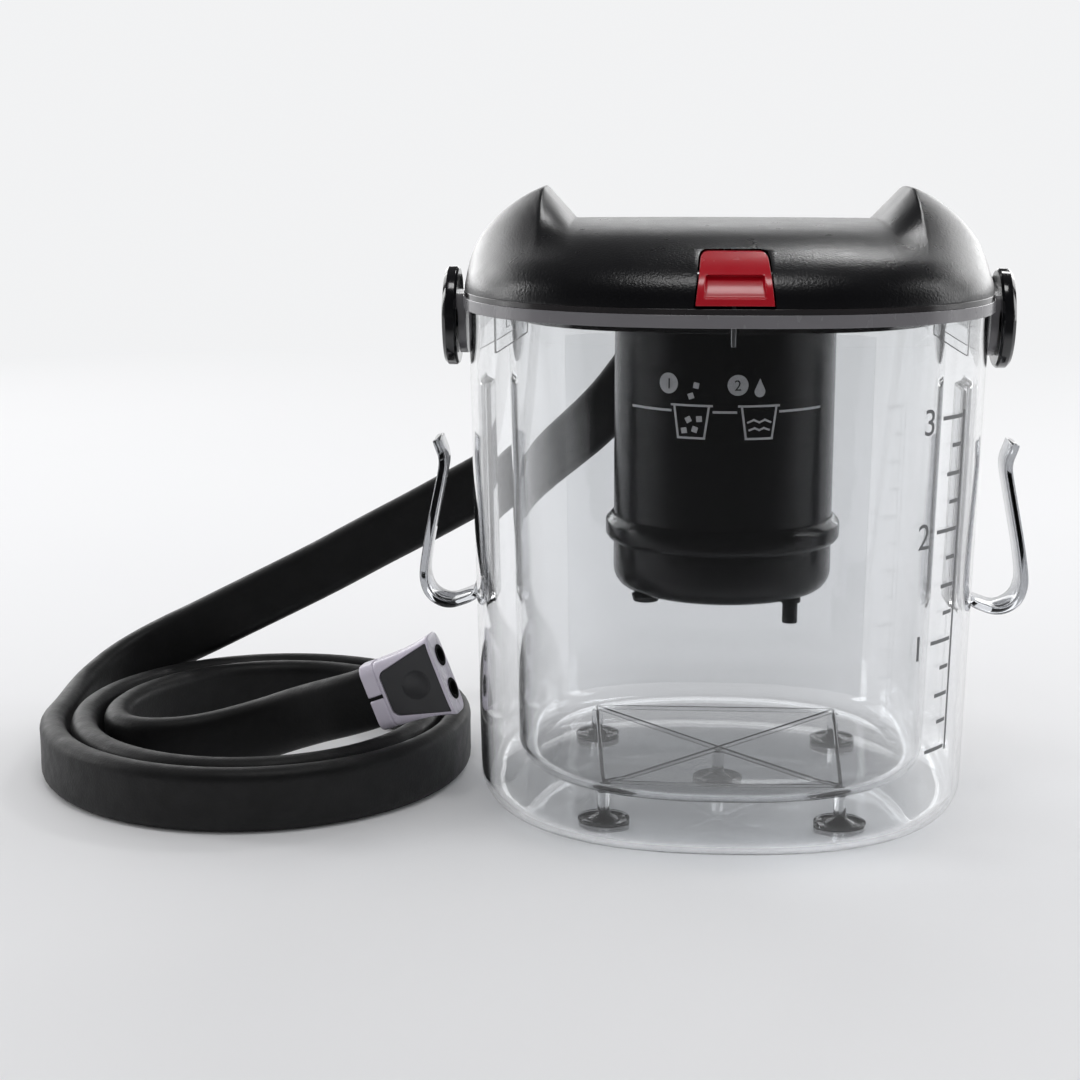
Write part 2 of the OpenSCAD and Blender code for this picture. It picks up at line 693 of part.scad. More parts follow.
// A water tube: it stands on its lower end, turns through a quarter circle and runs back to the gland.
module water_tube(x, low_z) {
    bend = 12;
    top_z = neck_z + neck_h / 2;
    color(lilac_grey) translate([x, tube_y, 0]) {
        translate([0, 0, low_z]) tube_length(top_z - bend - low_z);
        translate([0, bend, top_z - bend]) rotate([0, -90, 0]) rotate([0, 0, -90])
            rotate_extrude(angle = 90) translate([bend, 0]) difference() {
                circle(r = tube_r);
                circle(r = tube_bore_r);
            }
        translate([0, bend, top_z]) rotate([-90, 0, 0]) tube_length(neck_in + 15 - tube_y - bend);
    }
}

module tube_length(h) {
    linear_extrude(h) difference() {
        circle(r = tube_r);
        circle(r = tube_bore_r);
    }
}

module supply_tube() {
    water_tube(tube_places[0], housing_z + 14 + seat_gap);
}

module return_tube() {
    water_tube(tube_places[1], can_base_z);
}

// ---------- latch ----------

// Side profile of the lever, as depths and heights: the outer face follows the lid,
// with a finger scoop above the lower lip.
function face_y(z) = -lid_b * pow(1 - pow(clamp01((z - lid_z) / valley_h), 2.2), 1 / 3);
lever_t = 4;

module lever_profile() {
    top = latch_top_z + 1;
    low = latch_low_z - 1;
    scoop_low = latch_low_z + 3.2;
    scoop_top = latch_low_z + 10.2;
    out = 0.4;
    polygon(concat(
        [[face_y(low) - out, low], [face_y(scoop_low) - out, scoop_low - 0.8], [face_y(scoop_low) + 0.6, scoop_low]],
        [for (k = [1:5]) let (z = mix(scoop_low, scoop_top, k / 6)) [face_y(z) + 2.2 + 0.5 * sin(30 * k), z]],
        [for (k = [0:6]) let (z = mix(scoop_top, top, k / 6)) [face_y(z) - out, z]],
        [for (k = [6:-1:0]) let (z = mix(low, top, k / 6)) [face_y(z) + lever_t + 1.2, z]]));
}

module latch_lever() {
    color(latch_red) difference() {
        union() {
            intersection() {
                translate([-30, 0, 0]) rotate([90, 0, 90]) linear_extrude(60) lever_profile();
                latch_prism(0);
            }
            translate([-8, pin_y, pin_z]) rotate([0, 90, 0]) cylinder(r = 3.6, h = 16);
            translate([-8, pin_y - 7, pin_z - 3]) cube([16, 7, 6]);
        }
        translate([-30, pin_y, pin_z]) rotate([0, 90, 0]) cylinder(r = latch_pin_r + run_gap, h = 60);
    }
}

blade_y = -slot_in - 2.6;               // outer face of the blade
blade_t = 1.8;
tooth_z = tank_h - seat_gap;

module latch_blade() {
    top = pin_z - 3.8;
    color(steel) translate([-2.5, 0, 0]) rotate([90, 0, 90]) linear_extrude(5) polygon([
        [blade_y, top], [blade_y, tank_h - 8], [blade_y + 1.2, tank_h - 8], [blade_y + 4.4, tooth_z - 3.4],
        [blade_y + 4.4, tooth_z], [blade_y + blade_t, tooth_z], [blade_y + blade_t, top - 3],
        [blade_y + 6, top]]);
}

// ---------- handle ----------

arm_inner = hub_x + 0.5;
arm_outer = arm_inner + arm_t;
corner_r = 30;

module bail_outline() {
    difference() {
        union() {
            translate([-arm_outer, 0]) square([2 * arm_outer, handle_reach - corner_r + arm_t / 2]);
            translate([-arm_outer + corner_r, 0])
                square([2 * (arm_outer - corner_r), handle_reach + arm_t / 2]);
            for (s = [-1, 1]) translate([s * (arm_outer - corner_r), handle_reach - corner_r + arm_t / 2])
                circle(r = corner_r, $fn = 64);
        }
        inner_r = corner_r - arm_t;
        translate([-arm_inner, -1]) square([2 * arm_inner, handle_reach - corner_r + arm_t / 2 + 1]);
        translate([-arm_inner + inner_r, -1])
            square([2 * (arm_inner - inner_r), handle_reach - arm_t / 2 + 1]);
        for (s = [-1, 1]) translate([s * (arm_inner - inner_r), handle_reach - corner_r + arm_t / 2])
            circle(r = inner_r, $fn = 64);
    }
}

module handle_bail() {
    color(gloss_black) difference() {
        union() {
            translate([0, 0, pivot_z - arm_h / 2]) linear_extrude(arm_h) bail_outline();
            for (s = [-1, 1]) scale_x(s) translate([hub_x, 0, pivot_z]) rotate([0, 90, 0]) rotate_extrude($fn = 72)
                polygon([[0, 0], [hub_dia / 2 - 1, 0], [hub_dia / 2, 1], [hub_dia / 2, hub_t - 1.5],
                    [hub_dia / 2 - 1.5, hub_t], [0, hub_t]]);
        }
        for (s = [-1, 1]) scale_x(s) translate([hub_x, 0, pivot_z]) rotate([0, 90, 0]) {
            translate([0, 0, -1]) cylinder(r = stub_r + run_gap, h = hub_t + 2);
            translate([0, 0, 3.7]) cylinder(r = 7, h = hub_t);
            translate([0, 0, hub_t - 0.9]) cylinder(r = 15.2, h = 3);
        }
    }
}

module hub_caps() {
    color(gloss_black) for (s = [-1, 1]) scale_x(s) translate([hub_x + hub_t - 0.9, 0, pivot_z])
        rotate([0, 90, 0]) rotate_extrude($fn = 72)
            polygon([[0, 0], [15, 0], [15, 1], [13, 1.7], [8, 2.3], [0, 2.6]]);
}

grip_len = 120;

module handle_grip() {
    r = grip_dia / 2;
    color(rubber_black) difference() {
        translate([-grip_len / 2, handle_reach, pivot_z]) rotate([0, 90, 0]) rotate_extrude()
            polygon([[0, 0], [r - 1.5, 0], [r, 1.5], [r, grip_len - 1.5], [r - 1.5, grip_len], [0, grip_len]]);
        translate([-grip_len, handle_reach - arm_t / 2, pivot_z - arm_h / 2])
            cube([2 * grip_len, arm_t, arm_h]);
    }
}

// ---------- hose ----------

// Route of the free stretch, from the gland down to the floor, chosen by hand.
lead_route = [
    hose_start + seat_gap * gland_dir, [-12.4, 116.3, 214.6], [-22.2, 116.3, 202.3], [-32.4, 116.3, 189], [-42.6, 116.3, 175.8],
    [-53.5, 116.5, 163], [-66.5, 117, 151.2], [-83, 118.2, 139.4], [-101.5, 120, 128], [-122, 122, 116.2],
    [-146, 123.6, 102.6], [-171, 124.9, 89], [-196, 125.6, 75.2], [-219, 126, 63.3], [-241, 126, 52.2],
    [-260, 125.6, 42.6], [-277, 123.2, 34.6], [-291.5, 116.8, 27.6], [-302, 106, 21.9], [-308.2, 91.6, 17.6],
    [-310.8, 75.6, 14.9]];

// The coil on the floor: a spiral of flattened turns that winds inwards.
coil_at = [-211.8, 38];
coil_a = 98.3;
coil_b = 103.5;
coil_from = 175;
coil_to = 895;
coil_steps = ceil((coil_to - coil_from) / 15);
function coil_point(t) =
    let (inset = coil_pitch * (t - coil_from) / 360)
    [coil_at[0] + (coil_a - inset) * cos(t), coil_at[1] + (coil_b - inset) * sin(t), hose_w / 2];
coil_route = [for (i = [0:coil_steps]) coil_point(coil_from + (coil_to - coil_from) * i / coil_steps)];

// Route of the end that rises over the coil to the connector.
conn_at = [-147.8, -4.6, 46.5];         // where the hose meets the connector
conn_turn = [0, -21.8, -10.6];          // how the connector is tipped and turned
tail_route = [
    [-280.8, 32, 14], [-278.4, 22.8, 14], [-273, 15.4, 14], [-265, 10.7, 14.1], [-255.4, 9, 14.4],
    [-244, 9.6, 15.2], [-232, 11.6, 16.8], [-219.5, 13.4, 19.6], [-206.5, 13, 23.6], [-193.5, 10.2, 28.7],
    [-181, 5.4, 33.7], [-170.5, 0.7, 37.7], [-160.6, -2.2, 41.3]];

function turned(v, r) =
    let (a = [v[0] * cos(r[1]) + v[2] * sin(r[1]), v[1], -v[0] * sin(r[1]) + v[2] * cos(r[1])])
    [a[0] * cos(r[2]) - a[1] * sin(r[2]), a[0] * sin(r[2]) + a[1] * cos(r[2]), a[2]];
conn_dir = turned([1, 0, 0], conn_turn);

// The flat hose's cross-section: distances sideways and along its width.
hose_section = let (t = hose_t / 2, w = hose_w / 2) [
    [t, -w + 6], [t, w - 6], [0.68 * t, w - 1.6], [0, w], [-0.68 * t, w - 1.6],
    [-t, w - 6], [-t, 6 - w], [-0.68 * t, 1.6 - w], [0, -w], [0.68 * t, 1.6 - w]];

// One ring of the hose round a point, square to a direction, with its width as upright as it can be.
function hose_ring(p, d) =
    let (side = unit(cross(d, [0, 0, 1])), up = cross(side, d))
    [for (q = hose_section) p + q[0] * side + q[1] * up];

module hose_sweep(route, first, last) {
    n = len(route) - 1;
    loft([for (i = [0:n]) hose_ring(route[i],
        i == 0 ? first : i == n ? last : unit(unit(route[i + 1] - route[i]) + unit(route[i] - route[i - 1])))]);
}

coil_first = unit(coil_point(coil_from + 0.5) - coil_point(coil_from - 0.5));
coil_last = unit(coil_point(coil_to + 0.5) - coil_point(coil_to - 0.5));

module hose_lead() {
    color(rubber_black) hose_sweep(concat(lead_route, [coil_route[0]]),
        gland_dir, coil_first);
}

module hose_coil() {
    color(rubber_black) hose_sweep(coil_route, coil_first, coil_last);
}

module hose_tail() {
    color(rubber_black) hose_sweep(concat([coil_route[coil_steps]], tail_route, [conn_at - seat_gap * conn_dir]), coil_last, conn_dir);
}

// Least gap between one turn and the next, measured between points on the hose's two flat sides.
coil_sides = [for (i = [0:coil_steps])
    let (d = i == coil_steps ? coil_last : unit(coil_route[i + 1] - coil_route[i]),
        side = unit(cross(d, [0, 0, 1])))
    [coil_route[i] - hose_t / 2 * side, coil_route[i] + hose_t / 2 * side]];
coil_gap = min([for (i = [0:coil_steps - 12], j = [i + 12:coil_steps])
    min(norm(coil_sides[i][0] - coil_sides[j][1]), norm(coil_sides[i][1] - coil_sides[j][0]))]);
echo(least_gap_between_hose_turns_mm = coil_gap);

// ---------- connector ----------

// Everything below is drawn along the connector's own axis: +X runs from the hose to the open end,
// Z is its width and -Y its front, and place_connector() puts it on the hose's end.
module place_connector() {
    translate(conn_at) rotate([0, 0, conn_turn[2]]) rotate([0, conn_turn[1], 0]) children();
}

collar_len = 7;
conn_root_w = 31;
conn_root_t = 15.5;
shell_wall = 2;

module rounded_plate(w, t, r, h) {
    rotate([0, 90, 0]) linear_extrude(h) hull() {
        for (x = [-1, 1], y = [-1, 1]) translate([x * (w / 2 - r), y * (t / 2 - r)]) circle(r = r, $fn = 24);
    }
}

module hose_collar() {
    color(lilac_grey) place_connector() difference() {
        translate([-collar_len, 0, 0]) rounded_plate(conn_root_w, conn_root_t, 5, collar_len);
        translate([-collar_len - 1, 0, 0]) rounded_plate(hose_w + 2 * seat_gap, hose_t + 2 * seat_gap, 5, collar_len + 2);
        translate([-collar_len - 1, -conn_root_t, -0.8]) cube([collar_len + 2, conn_root_t, 1.6]);
    }
}

module shell_body(shrink, extra = 0) {
    hull() {
        translate([-extra, 0, 0]) rounded_plate(conn_root_w - 2 * shrink, conn_root_t - 2 * shrink, 4, 0.5);
        translate([conn_len - 0.5 + extra, 0, 0])
            rounded_plate(conn_end_w - 2 * shrink, conn_end_t - 2 * shrink, 3.5, 0.5);
    }
}

button_from = 2;
button_to = conn_len - 2.5;
button_half_root = 9;
button_half_end = 15.5;
button_t = 2.6;
dish_r = 8.5;                           // radius of the ball that shapes the thumb dish

// The button's rounded trapezoid, grown by a margin, as a prism through the front shell.
module button_prism(margin, low_y, high_y) {
    translate([0, high_y, 0]) rotate([90, 0, 0]) linear_extrude(high_y - low_y) hull() {
        for (s = [-1, 1]) {
            translate([button_from + 2, s * (button_half_root - 2)]) circle(r = 2 + margin, $fn = 24);
            translate([button_to - 1.5, s * (button_half_end - 1.5)]) circle(r = 1.5 + margin, $fn = 24);
        }
    }
}

port_y = 1.6;                           // the ports lie this far behind the connector's middle
button_face = -conn_root_t / 2 - 0.3;
pocket_floor = button_face + button_t + button_travel + 0.2;

module connector_front() {
    color(lilac_grey) place_connector() difference() {
        intersection() {
            shell_body(0);
            translate([-1, -conn_end_t, -conn_end_w]) cube([conn_len + 2, conn_end_t, 2 * conn_end_w]);
        }
        button_prism(0.3, -conn_end_t, pocket_floor);
        port_block(seat_gap);
        hose_stub_space();
    }
}

module connector_rear() {
    color(lilac_grey) place_connector() difference() {
        intersection() {
            shell_body(0);
            translate([-1, 0, -conn_end_w]) cube([conn_len + 2, conn_end_t, 2 * conn_end_w]);
        }
        port_block(seat_gap);
        hose_stub_space();
    }
}

port_from = conn_len - 11;
port_out = 1;

module port_block(margin) {
    translate([port_from - margin, port_y, 0])
        rounded_plate(port_span + 13 + 2 * margin, 2 * port_r + 2.2 + 2 * margin, port_r, conn_len - port_from + 3);
}

// Space inside the shells for the two water ways between hose and ports.
module hose_stub_space() {
    for (s = [-1, 1]) translate([-1, port_y, s * 7]) rotate([0, 90, 0]) cylinder(r = 3, h = port_from + 2);
}

module connector_ports() {
    color(dark_grey) place_connector() difference() {
        intersection() {
            port_block(0);
            translate([0, -20, -30]) cube([conn_len + port_out, 40, 60]);
        }
        for (s = [-1, 1]) translate([port_from - 1, port_y, s * port_span / 2]) rotate([0, 90, 0])
            cylinder(r = port_r, h = conn_len);
    }
}

module port_seals() {
    color(rubber_black) place_connector() for (s = [-1, 1])
        translate([conn_len + port_out, port_y, s * port_span / 2]) rotate([0, 90, 0]) rotate_extrude()
            translate([port_r + 0.3, 0]) square([1.2, 0.8]);
}

module release_button() {
    color(dark_grey) place_connector() difference() {
        button_prism(0, button_face, button_face + button_t);
        translate([button_to - 10, button_face - dish_r + 1.2, 0]) sphere(r = dish_r);
    }
}

// ---------- what is drawn ----------

outer_shell();
inner_bucket();
rim_ring();
tank_feet();
floor_spacers();
hook_left();
hook_right();
pivot_screws();
lid_cover();
lid_pan();
lid_seal();
lid_screws();
hose_gland();
power_inlet();
latch_pin();
latch_springs();
canister_body();
canister_band();
canister_base();
intake_nozzle();
base_foot();
motor();
motor_mount();
pump_housing();
supply_tube();
return_tube();
latch_lever();
latch_blade();
handle_bail();
hub_caps();
handle_grip();
impeller();
hose_lead();
hose_coil();
hose_tail();
hose_collar();
connector_front();
connector_rear();
connector_ports();
port_seals();
release_button();
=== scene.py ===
"""Cold therapy machine: clear double-wall ice tank, black saddle lid, pump canister and flat twin hose.

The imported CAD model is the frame. Sizes are millimetres in the frame's axes (+Z up, -Y front), with
the names they have in part.scad, and every mesh is made in metres at its place on the machine.
"""
import json
import logging
import math
from dataclasses import dataclass
from enum import Enum
from typing import Callable, Iterable, Sequence

import bmesh
import bpy
from mathutils import Matrix, Vector


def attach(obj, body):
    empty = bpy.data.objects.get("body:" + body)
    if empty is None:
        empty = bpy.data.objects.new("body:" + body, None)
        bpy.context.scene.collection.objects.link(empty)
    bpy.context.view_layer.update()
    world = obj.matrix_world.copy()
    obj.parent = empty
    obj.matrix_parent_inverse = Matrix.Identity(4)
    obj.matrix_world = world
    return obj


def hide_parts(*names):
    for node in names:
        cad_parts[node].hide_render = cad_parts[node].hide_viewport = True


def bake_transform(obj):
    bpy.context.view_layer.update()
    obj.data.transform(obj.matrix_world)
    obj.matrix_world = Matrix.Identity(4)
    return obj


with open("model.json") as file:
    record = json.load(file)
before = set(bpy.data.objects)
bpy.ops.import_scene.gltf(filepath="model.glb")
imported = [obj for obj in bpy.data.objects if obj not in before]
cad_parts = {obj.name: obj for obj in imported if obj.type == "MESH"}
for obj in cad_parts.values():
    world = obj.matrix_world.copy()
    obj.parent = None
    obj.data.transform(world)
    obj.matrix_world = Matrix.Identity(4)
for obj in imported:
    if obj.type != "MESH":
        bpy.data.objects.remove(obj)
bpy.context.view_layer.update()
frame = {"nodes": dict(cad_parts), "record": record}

LOG = logging.getLogger("therapy_machine")
MM = 0.001


def mm(x: float, y: float, z: float) -> Vector:
    """Returns a point given in millimetres as a vector in metres."""
    return Vector((x, y, z)) * MM


def mix(a: float, b: float, share: float) -> float:
    """Returns the value a share of the way from a to b."""
    return a + (b - a) * share


def smooth(share: float) -> float:
    """Returns a share eased in and out, held between 0 and 1."""
    held = max(0.0, min(1.0, share))
    return held * held * (3 - 2 * held)


def eased_above(value: float, round_off: float) -> float:
    """Returns a value where it is positive and 0 elsewhere, with a rounded corner at 0."""
    return (value + math.sqrt(value * value + round_off * round_off)) / 2


def catmull(points: Sequence[Vector], steps: int) -> list[Vector]:
    """Draws a smooth line through points.

    Args:
        points: The points it passes.
        steps: How many stretches lie between two of them.

    Returns:
        The points of the fine line.
    """
    fine = []
    last = len(points) - 1
    for i in range(last):
        a, b = points[max(i - 1, 0)], points[i]
        c, d = points[i + 1], points[min(i + 2, last)]
        for k in range(steps):
            t = k / steps
            fine.append(0.5 * (2 * b + (c - a) * t + (2 * a - 5 * b + 4 * c - d) * t * t
                               + (3 * b - a - 3 * c + d) * t * t * t))
    fine.append(points[last].copy())
    return fine


# ---------------------------------------------------------------- finishes


class Body(str, Enum):
    """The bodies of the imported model."""

    TANK = "tank"
    LID = "lid"
    LATCH = "latch"
    HANDLE = "handle"
    ROTOR = "pump_rotor"
    BUTTON = "button"


class NodeBench:
    """Lays out one material's nodes."""

    def __init__(self, name: str) -> None:
        """Starts an empty material.

        Args:
            name: The material's name.
        """
        self.material = bpy.data.materials.new(name)
        self.material.use_nodes = True
        self.tree = self.material.node_tree
        self.tree.nodes.clear()
        self.output = self.add("ShaderNodeOutputMaterial")
        self.shader = self.add("ShaderNodeBsdfPrincipled")
        self.place = self.add("ShaderNodeTexCoord").outputs["Object"]
        self.join(self.shader.outputs["BSDF"], self.output.inputs["Surface"])

    def add(self, kind: str, **values: float) -> bpy.types.Node:
        """Adds a node and sets its plain inputs.

        Args:
            kind: The node's type name.
            **values: Values of inputs, named with underscores for spaces.

        Returns:
            The new node.
        """
        node = self.tree.nodes.new(kind)
        for name, value in values.items():
            node.inputs[name.replace("_", " ")].default_value = value
        return node

    def join(self, source: bpy.types.NodeSocket, target: bpy.types.NodeSocket) -> None:
        """Links two sockets."""
        self.tree.links.new(source, target)

    def set(self, **values: object) -> None:
        """Sets plain values on the shader's own sockets."""
        for name, value in values.items():
            self.shader.inputs[name.replace("_", " ")].default_value = value

    def stretched(self, scale: Sequence[float]) -> bpy.types.NodeSocket:
        """Returns the object's coordinates, scaled along each axis."""
        mapping = self.add("ShaderNodeMapping")
        mapping.inputs["Scale"].default_value = scale
        self.join(self.place, mapping.inputs["Vector"])
        return mapping.outputs["Vector"]

    def noise(self, scale: float, detail: float = 3.0,
              place: bpy.types.NodeSocket | None = None) -> bpy.types.NodeSocket:
        """Adds a noise.

        Args:
            scale: How many times it repeats in a metre.
            detail: Its octaves.
            place: Coordinates to read, or None for the object's own.

        Returns:
            Its value.
        """
        node = self.add("ShaderNodeTexNoise", Scale=scale, Detail=detail)
        self.join(place or self.place, node.inputs["Vector"])
        return node.outputs["Fac"]

    def ranged(self, value: bpy.types.NodeSocket, low: float, high: float,
               spread: tuple[float, float] = (0.3, 0.7)) -> bpy.types.NodeSocket:
        """Maps a value on to a range.

        Args:
            value: The value to map.
            low: Result at the low end.
            high: Result at the high end.
            spread: The part of the value that is used.

        Returns:
            The mapped value.
        """
        node = self.add("ShaderNodeMapRange")
        for name, number in (("From Min", spread[0]), ("From Max", spread[1]),
                             ("To Min", low), ("To Max", high)):
            node.inputs[name].default_value = number
        self.join(value, node.inputs["Value"])
        return node.outputs["Result"]

    def product(self, first: bpy.types.NodeSocket, second: bpy.types.NodeSocket) -> bpy.types.NodeSocket:
        """Returns the product of two values."""
        node = self.add("ShaderNodeMath")
        node.operation = "MULTIPLY"
        self.join(first, node.inputs[0])
        self.join(second, node.inputs[1])
        return node.outputs["Value"]

    def tinted(self, value: bpy.types.NodeSocket, low: Sequence[float], high: Sequence[float],
               low_from: bpy.types.NodeSocket | None = None) -> bpy.types.NodeSocket:
        """Returns a colour between two, chosen by a value.

        Args:
            value: The value that chooses.
            low: Colour at 0.
            high: Colour at 1.
            low_from: A colour to use at 0 instead of the plain one.

        Returns:
            The colour.
        """
        node = self.add("ShaderNodeMix")
        node.data_type = "RGBA"
        colours = [s for s in node.inputs if s.type == "RGBA"]
        colours[0].default_value = (*low, 1)
        colours[1].default_value = (*high, 1)
        if low_from is not None:
            self.join(low_from, colours[0])
        self.join(value, node.inputs["Factor"])
        return [s for s in node.outputs if s.type == "RGBA"][0]

    def raised(self, height: bpy.types.NodeSocket, depth: float, strength: float = 1.0,
               under: bpy.types.NodeSocket | None = None) -> bpy.types.NodeSocket:
        """Turns a height into a normal.

        Args:
            height: Height between 0 and 1.
            depth: Depth of the relief in metres.
            strength: Strength of the effect.
            under: A normal that this relief lies on.

        Returns:
            The bumped normal.
        """
        node = self.add("ShaderNodeBump", Distance=depth, Strength=strength)
        self.join(height, node.inputs["Height"])
        if under is not None:
            self.join(under, node.inputs["Normal"])
        return node.outputs["Normal"]


def shade(colour: Sequence[float], factor: float) -> tuple[float, float, float]:
    """Returns a colour made darker or paler by a factor."""
    return tuple(min(1.0, c * factor) for c in colour)


@dataclass(frozen=True)
class MouldedPlastic:
    """Opaque plastic or rubber with a fine spark-eroded grain.

    Args:
        name: Name of the finish.
        colour: Its colour.
        roughness: Its lowest and highest roughness.
        grain: Grain cells in a metre.
        depth: Depth of the grain in metres.
        spread: How far the colour varies from place to place.
        coat: Share of clear gloss on top.
        specular: Strength of the plain reflection.
        sheen: Share of velvet sheen.
    """

    name: str
    colour: tuple[float, float, float]
    roughness: tuple[float, float]
    grain: float = 1400.0
    depth: float = 0.00004
    spread: float = 0.12
    coat: float = 0.0
    specular: float = 0.5
    sheen: float = 0.0

    def build(self) -> bpy.types.Material:
        """Makes the material."""
        bench = NodeBench(self.name)
        bench.set(Coat_Weight=self.coat, Coat_Roughness=0.08, Specular_IOR_Level=self.specular,
                  Sheen_Weight=self.sheen, Sheen_Roughness=0.4)
        cloud = bench.noise(26.0, 4.0)
        fine = bench.noise(self.grain, 2.0)
        bench.join(bench.tinted(bench.ranged(cloud, 0, 1), shade(self.colour, 1 - self.spread),
                                shade(self.colour, 1 + self.spread)),
                   bench.shader.inputs["Base Color"])
        worn = bench.noise(90.0, 5.0, bench.stretched((1, 1, 0.35)))
        bench.join(bench.ranged(worn, *self.roughness), bench.shader.inputs["Roughness"])
        bench.join(bench.raised(fine, self.depth), bench.shader.inputs["Normal"])
        return bench.material


@dataclass(frozen=True)
class ClearPlastic:
    """Clear moulded plastic that lets the lamps through to what it holds.

    Args:
        name: Name of the finish.
        tint: Colour of what passes.
        ior: Refractive index.
        ripple: Height in metres of the slow moulding waves.
    """

    name: str
    tint: tuple[float, float, float]
    ior: float = 1.47
    ripple: float = 0.00006

    def build(self) -> bpy.types.Material:
        """Makes the material."""
        bench = NodeBench(self.name)
        bench.set(Transmission_Weight=1.0, IOR=self.ior, Base_Color=(*self.tint, 1))
        flow = bench.noise(16.0, 2.0, bench.stretched((1, 1, 0.3)))
        bench.join(bench.raised(flow, self.ripple), bench.shader.inputs["Normal"])
        haze = bench.noise(60.0, 4.0)
        bench.join(bench.ranged(haze, 0.0, 0.012), bench.shader.inputs["Roughness"])
        rays = bench.add("ShaderNodeLightPath")
        through = bench.add("ShaderNodeBsdfTransparent")
        through.inputs["Color"].default_value = (*shade(self.tint, 0.98), 1)
        blend = bench.add("ShaderNodeMixShader")
        bench.join(rays.outputs["Is Shadow Ray"], blend.inputs["Fac"])
        bench.join(bench.shader.outputs["BSDF"], blend.inputs[1])
        bench.join(through.outputs["BSDF"], blend.inputs[2])
        bench.join(blend.outputs["Shader"], bench.output.inputs["Surface"])
        return bench.material


@dataclass(frozen=True)
class BrushedSteel:
    """Drawn steel with fine lines.

    Args:
        name: Name of the finish.
        colour: Its colour.
        along: How the lines are stretched on each axis.
    """

    name: str
    colour: tuple[float, float, float]
    along: tuple[float, float, float] = (1, 1, 0.05)

    def build(self) -> bpy.types.Material:
        """Makes the material."""
        bench = NodeBench(self.name)
        bench.set(Metallic=1.0)
        lines = bench.noise(900.0, 2.0, bench.stretched(self.along))
        bench.join(bench.tinted(bench.ranged(lines, 0, 1), shade(self.colour, 0.9), self.colour),
                   bench.shader.inputs["Base Color"])
        bench.join(bench.ranged(lines, 0.22, 0.38), bench.shader.inputs["Roughness"])
        bench.join(bench.raised(lines, 0.00001), bench.shader.inputs["Normal"])
        return bench.material


@dataclass(frozen=True)
class FoamSleeve:
    """Closed-cell foam skin of the hose: near black, with fine pores and faint wrinkles.

    Args:
        name: Name of the finish.
        colour: Its colour.
    """

    name: str
    colour: tuple[float, float, float]

    def build(self) -> bpy.types.Material:
        """Makes the material."""
        bench = NodeBench(self.name)
        bench.set(Specular_IOR_Level=0.35, Sheen_Weight=0.02, Sheen_Roughness=0.3)
        pores = bench.add("ShaderNodeTexVoronoi", Scale=900.0)
        bench.join(bench.place, pores.inputs["Vector"])
        skin = bench.raised(pores.outputs["Distance"], 0.00007)
        folds = bench.raised(bench.noise(120.0, 4.0), 0.00025, 0.7, skin)
        bench.join(folds, bench.shader.inputs["Normal"])
        bench.join(bench.tinted(bench.ranged(bench.noise(45.0, 5.0), 0, 1), shade(self.colour, 0.75),
                                shade(self.colour, 1.35)), bench.shader.inputs["Base Color"])
        bench.join(bench.ranged(bench.noise(150.0, 4.0), 0.46, 0.58), bench.shader.inputs["Roughness"])
        return bench.material


@dataclass(frozen=True)
class PrintInk:
    """Screen-printed ink or a printed sheet, a little uneven.

    Args:
        name: Name of the finish.
        colour: Its colour.
    """

    name: str
    colour: tuple[float, float, float]

    def build(self) -> bpy.types.Material:
        """Makes the material."""
        bench = NodeBench(self.name)
        bench.set(Specular_IOR_Level=0.35)
        spots = bench.noise(400.0, 3.0)
        bench.join(bench.tinted(bench.ranged(spots, 0, 1), shade(self.colour, 0.93), shade(self.colour, 1.05)),
                   bench.shader.inputs["Base Color"])
        bench.join(bench.ranged(spots, 0.42, 0.58), bench.shader.inputs["Roughness"])
        bench.join(bench.raised(spots, 0.00001), bench.shader.inputs["Normal"])
        return bench.material


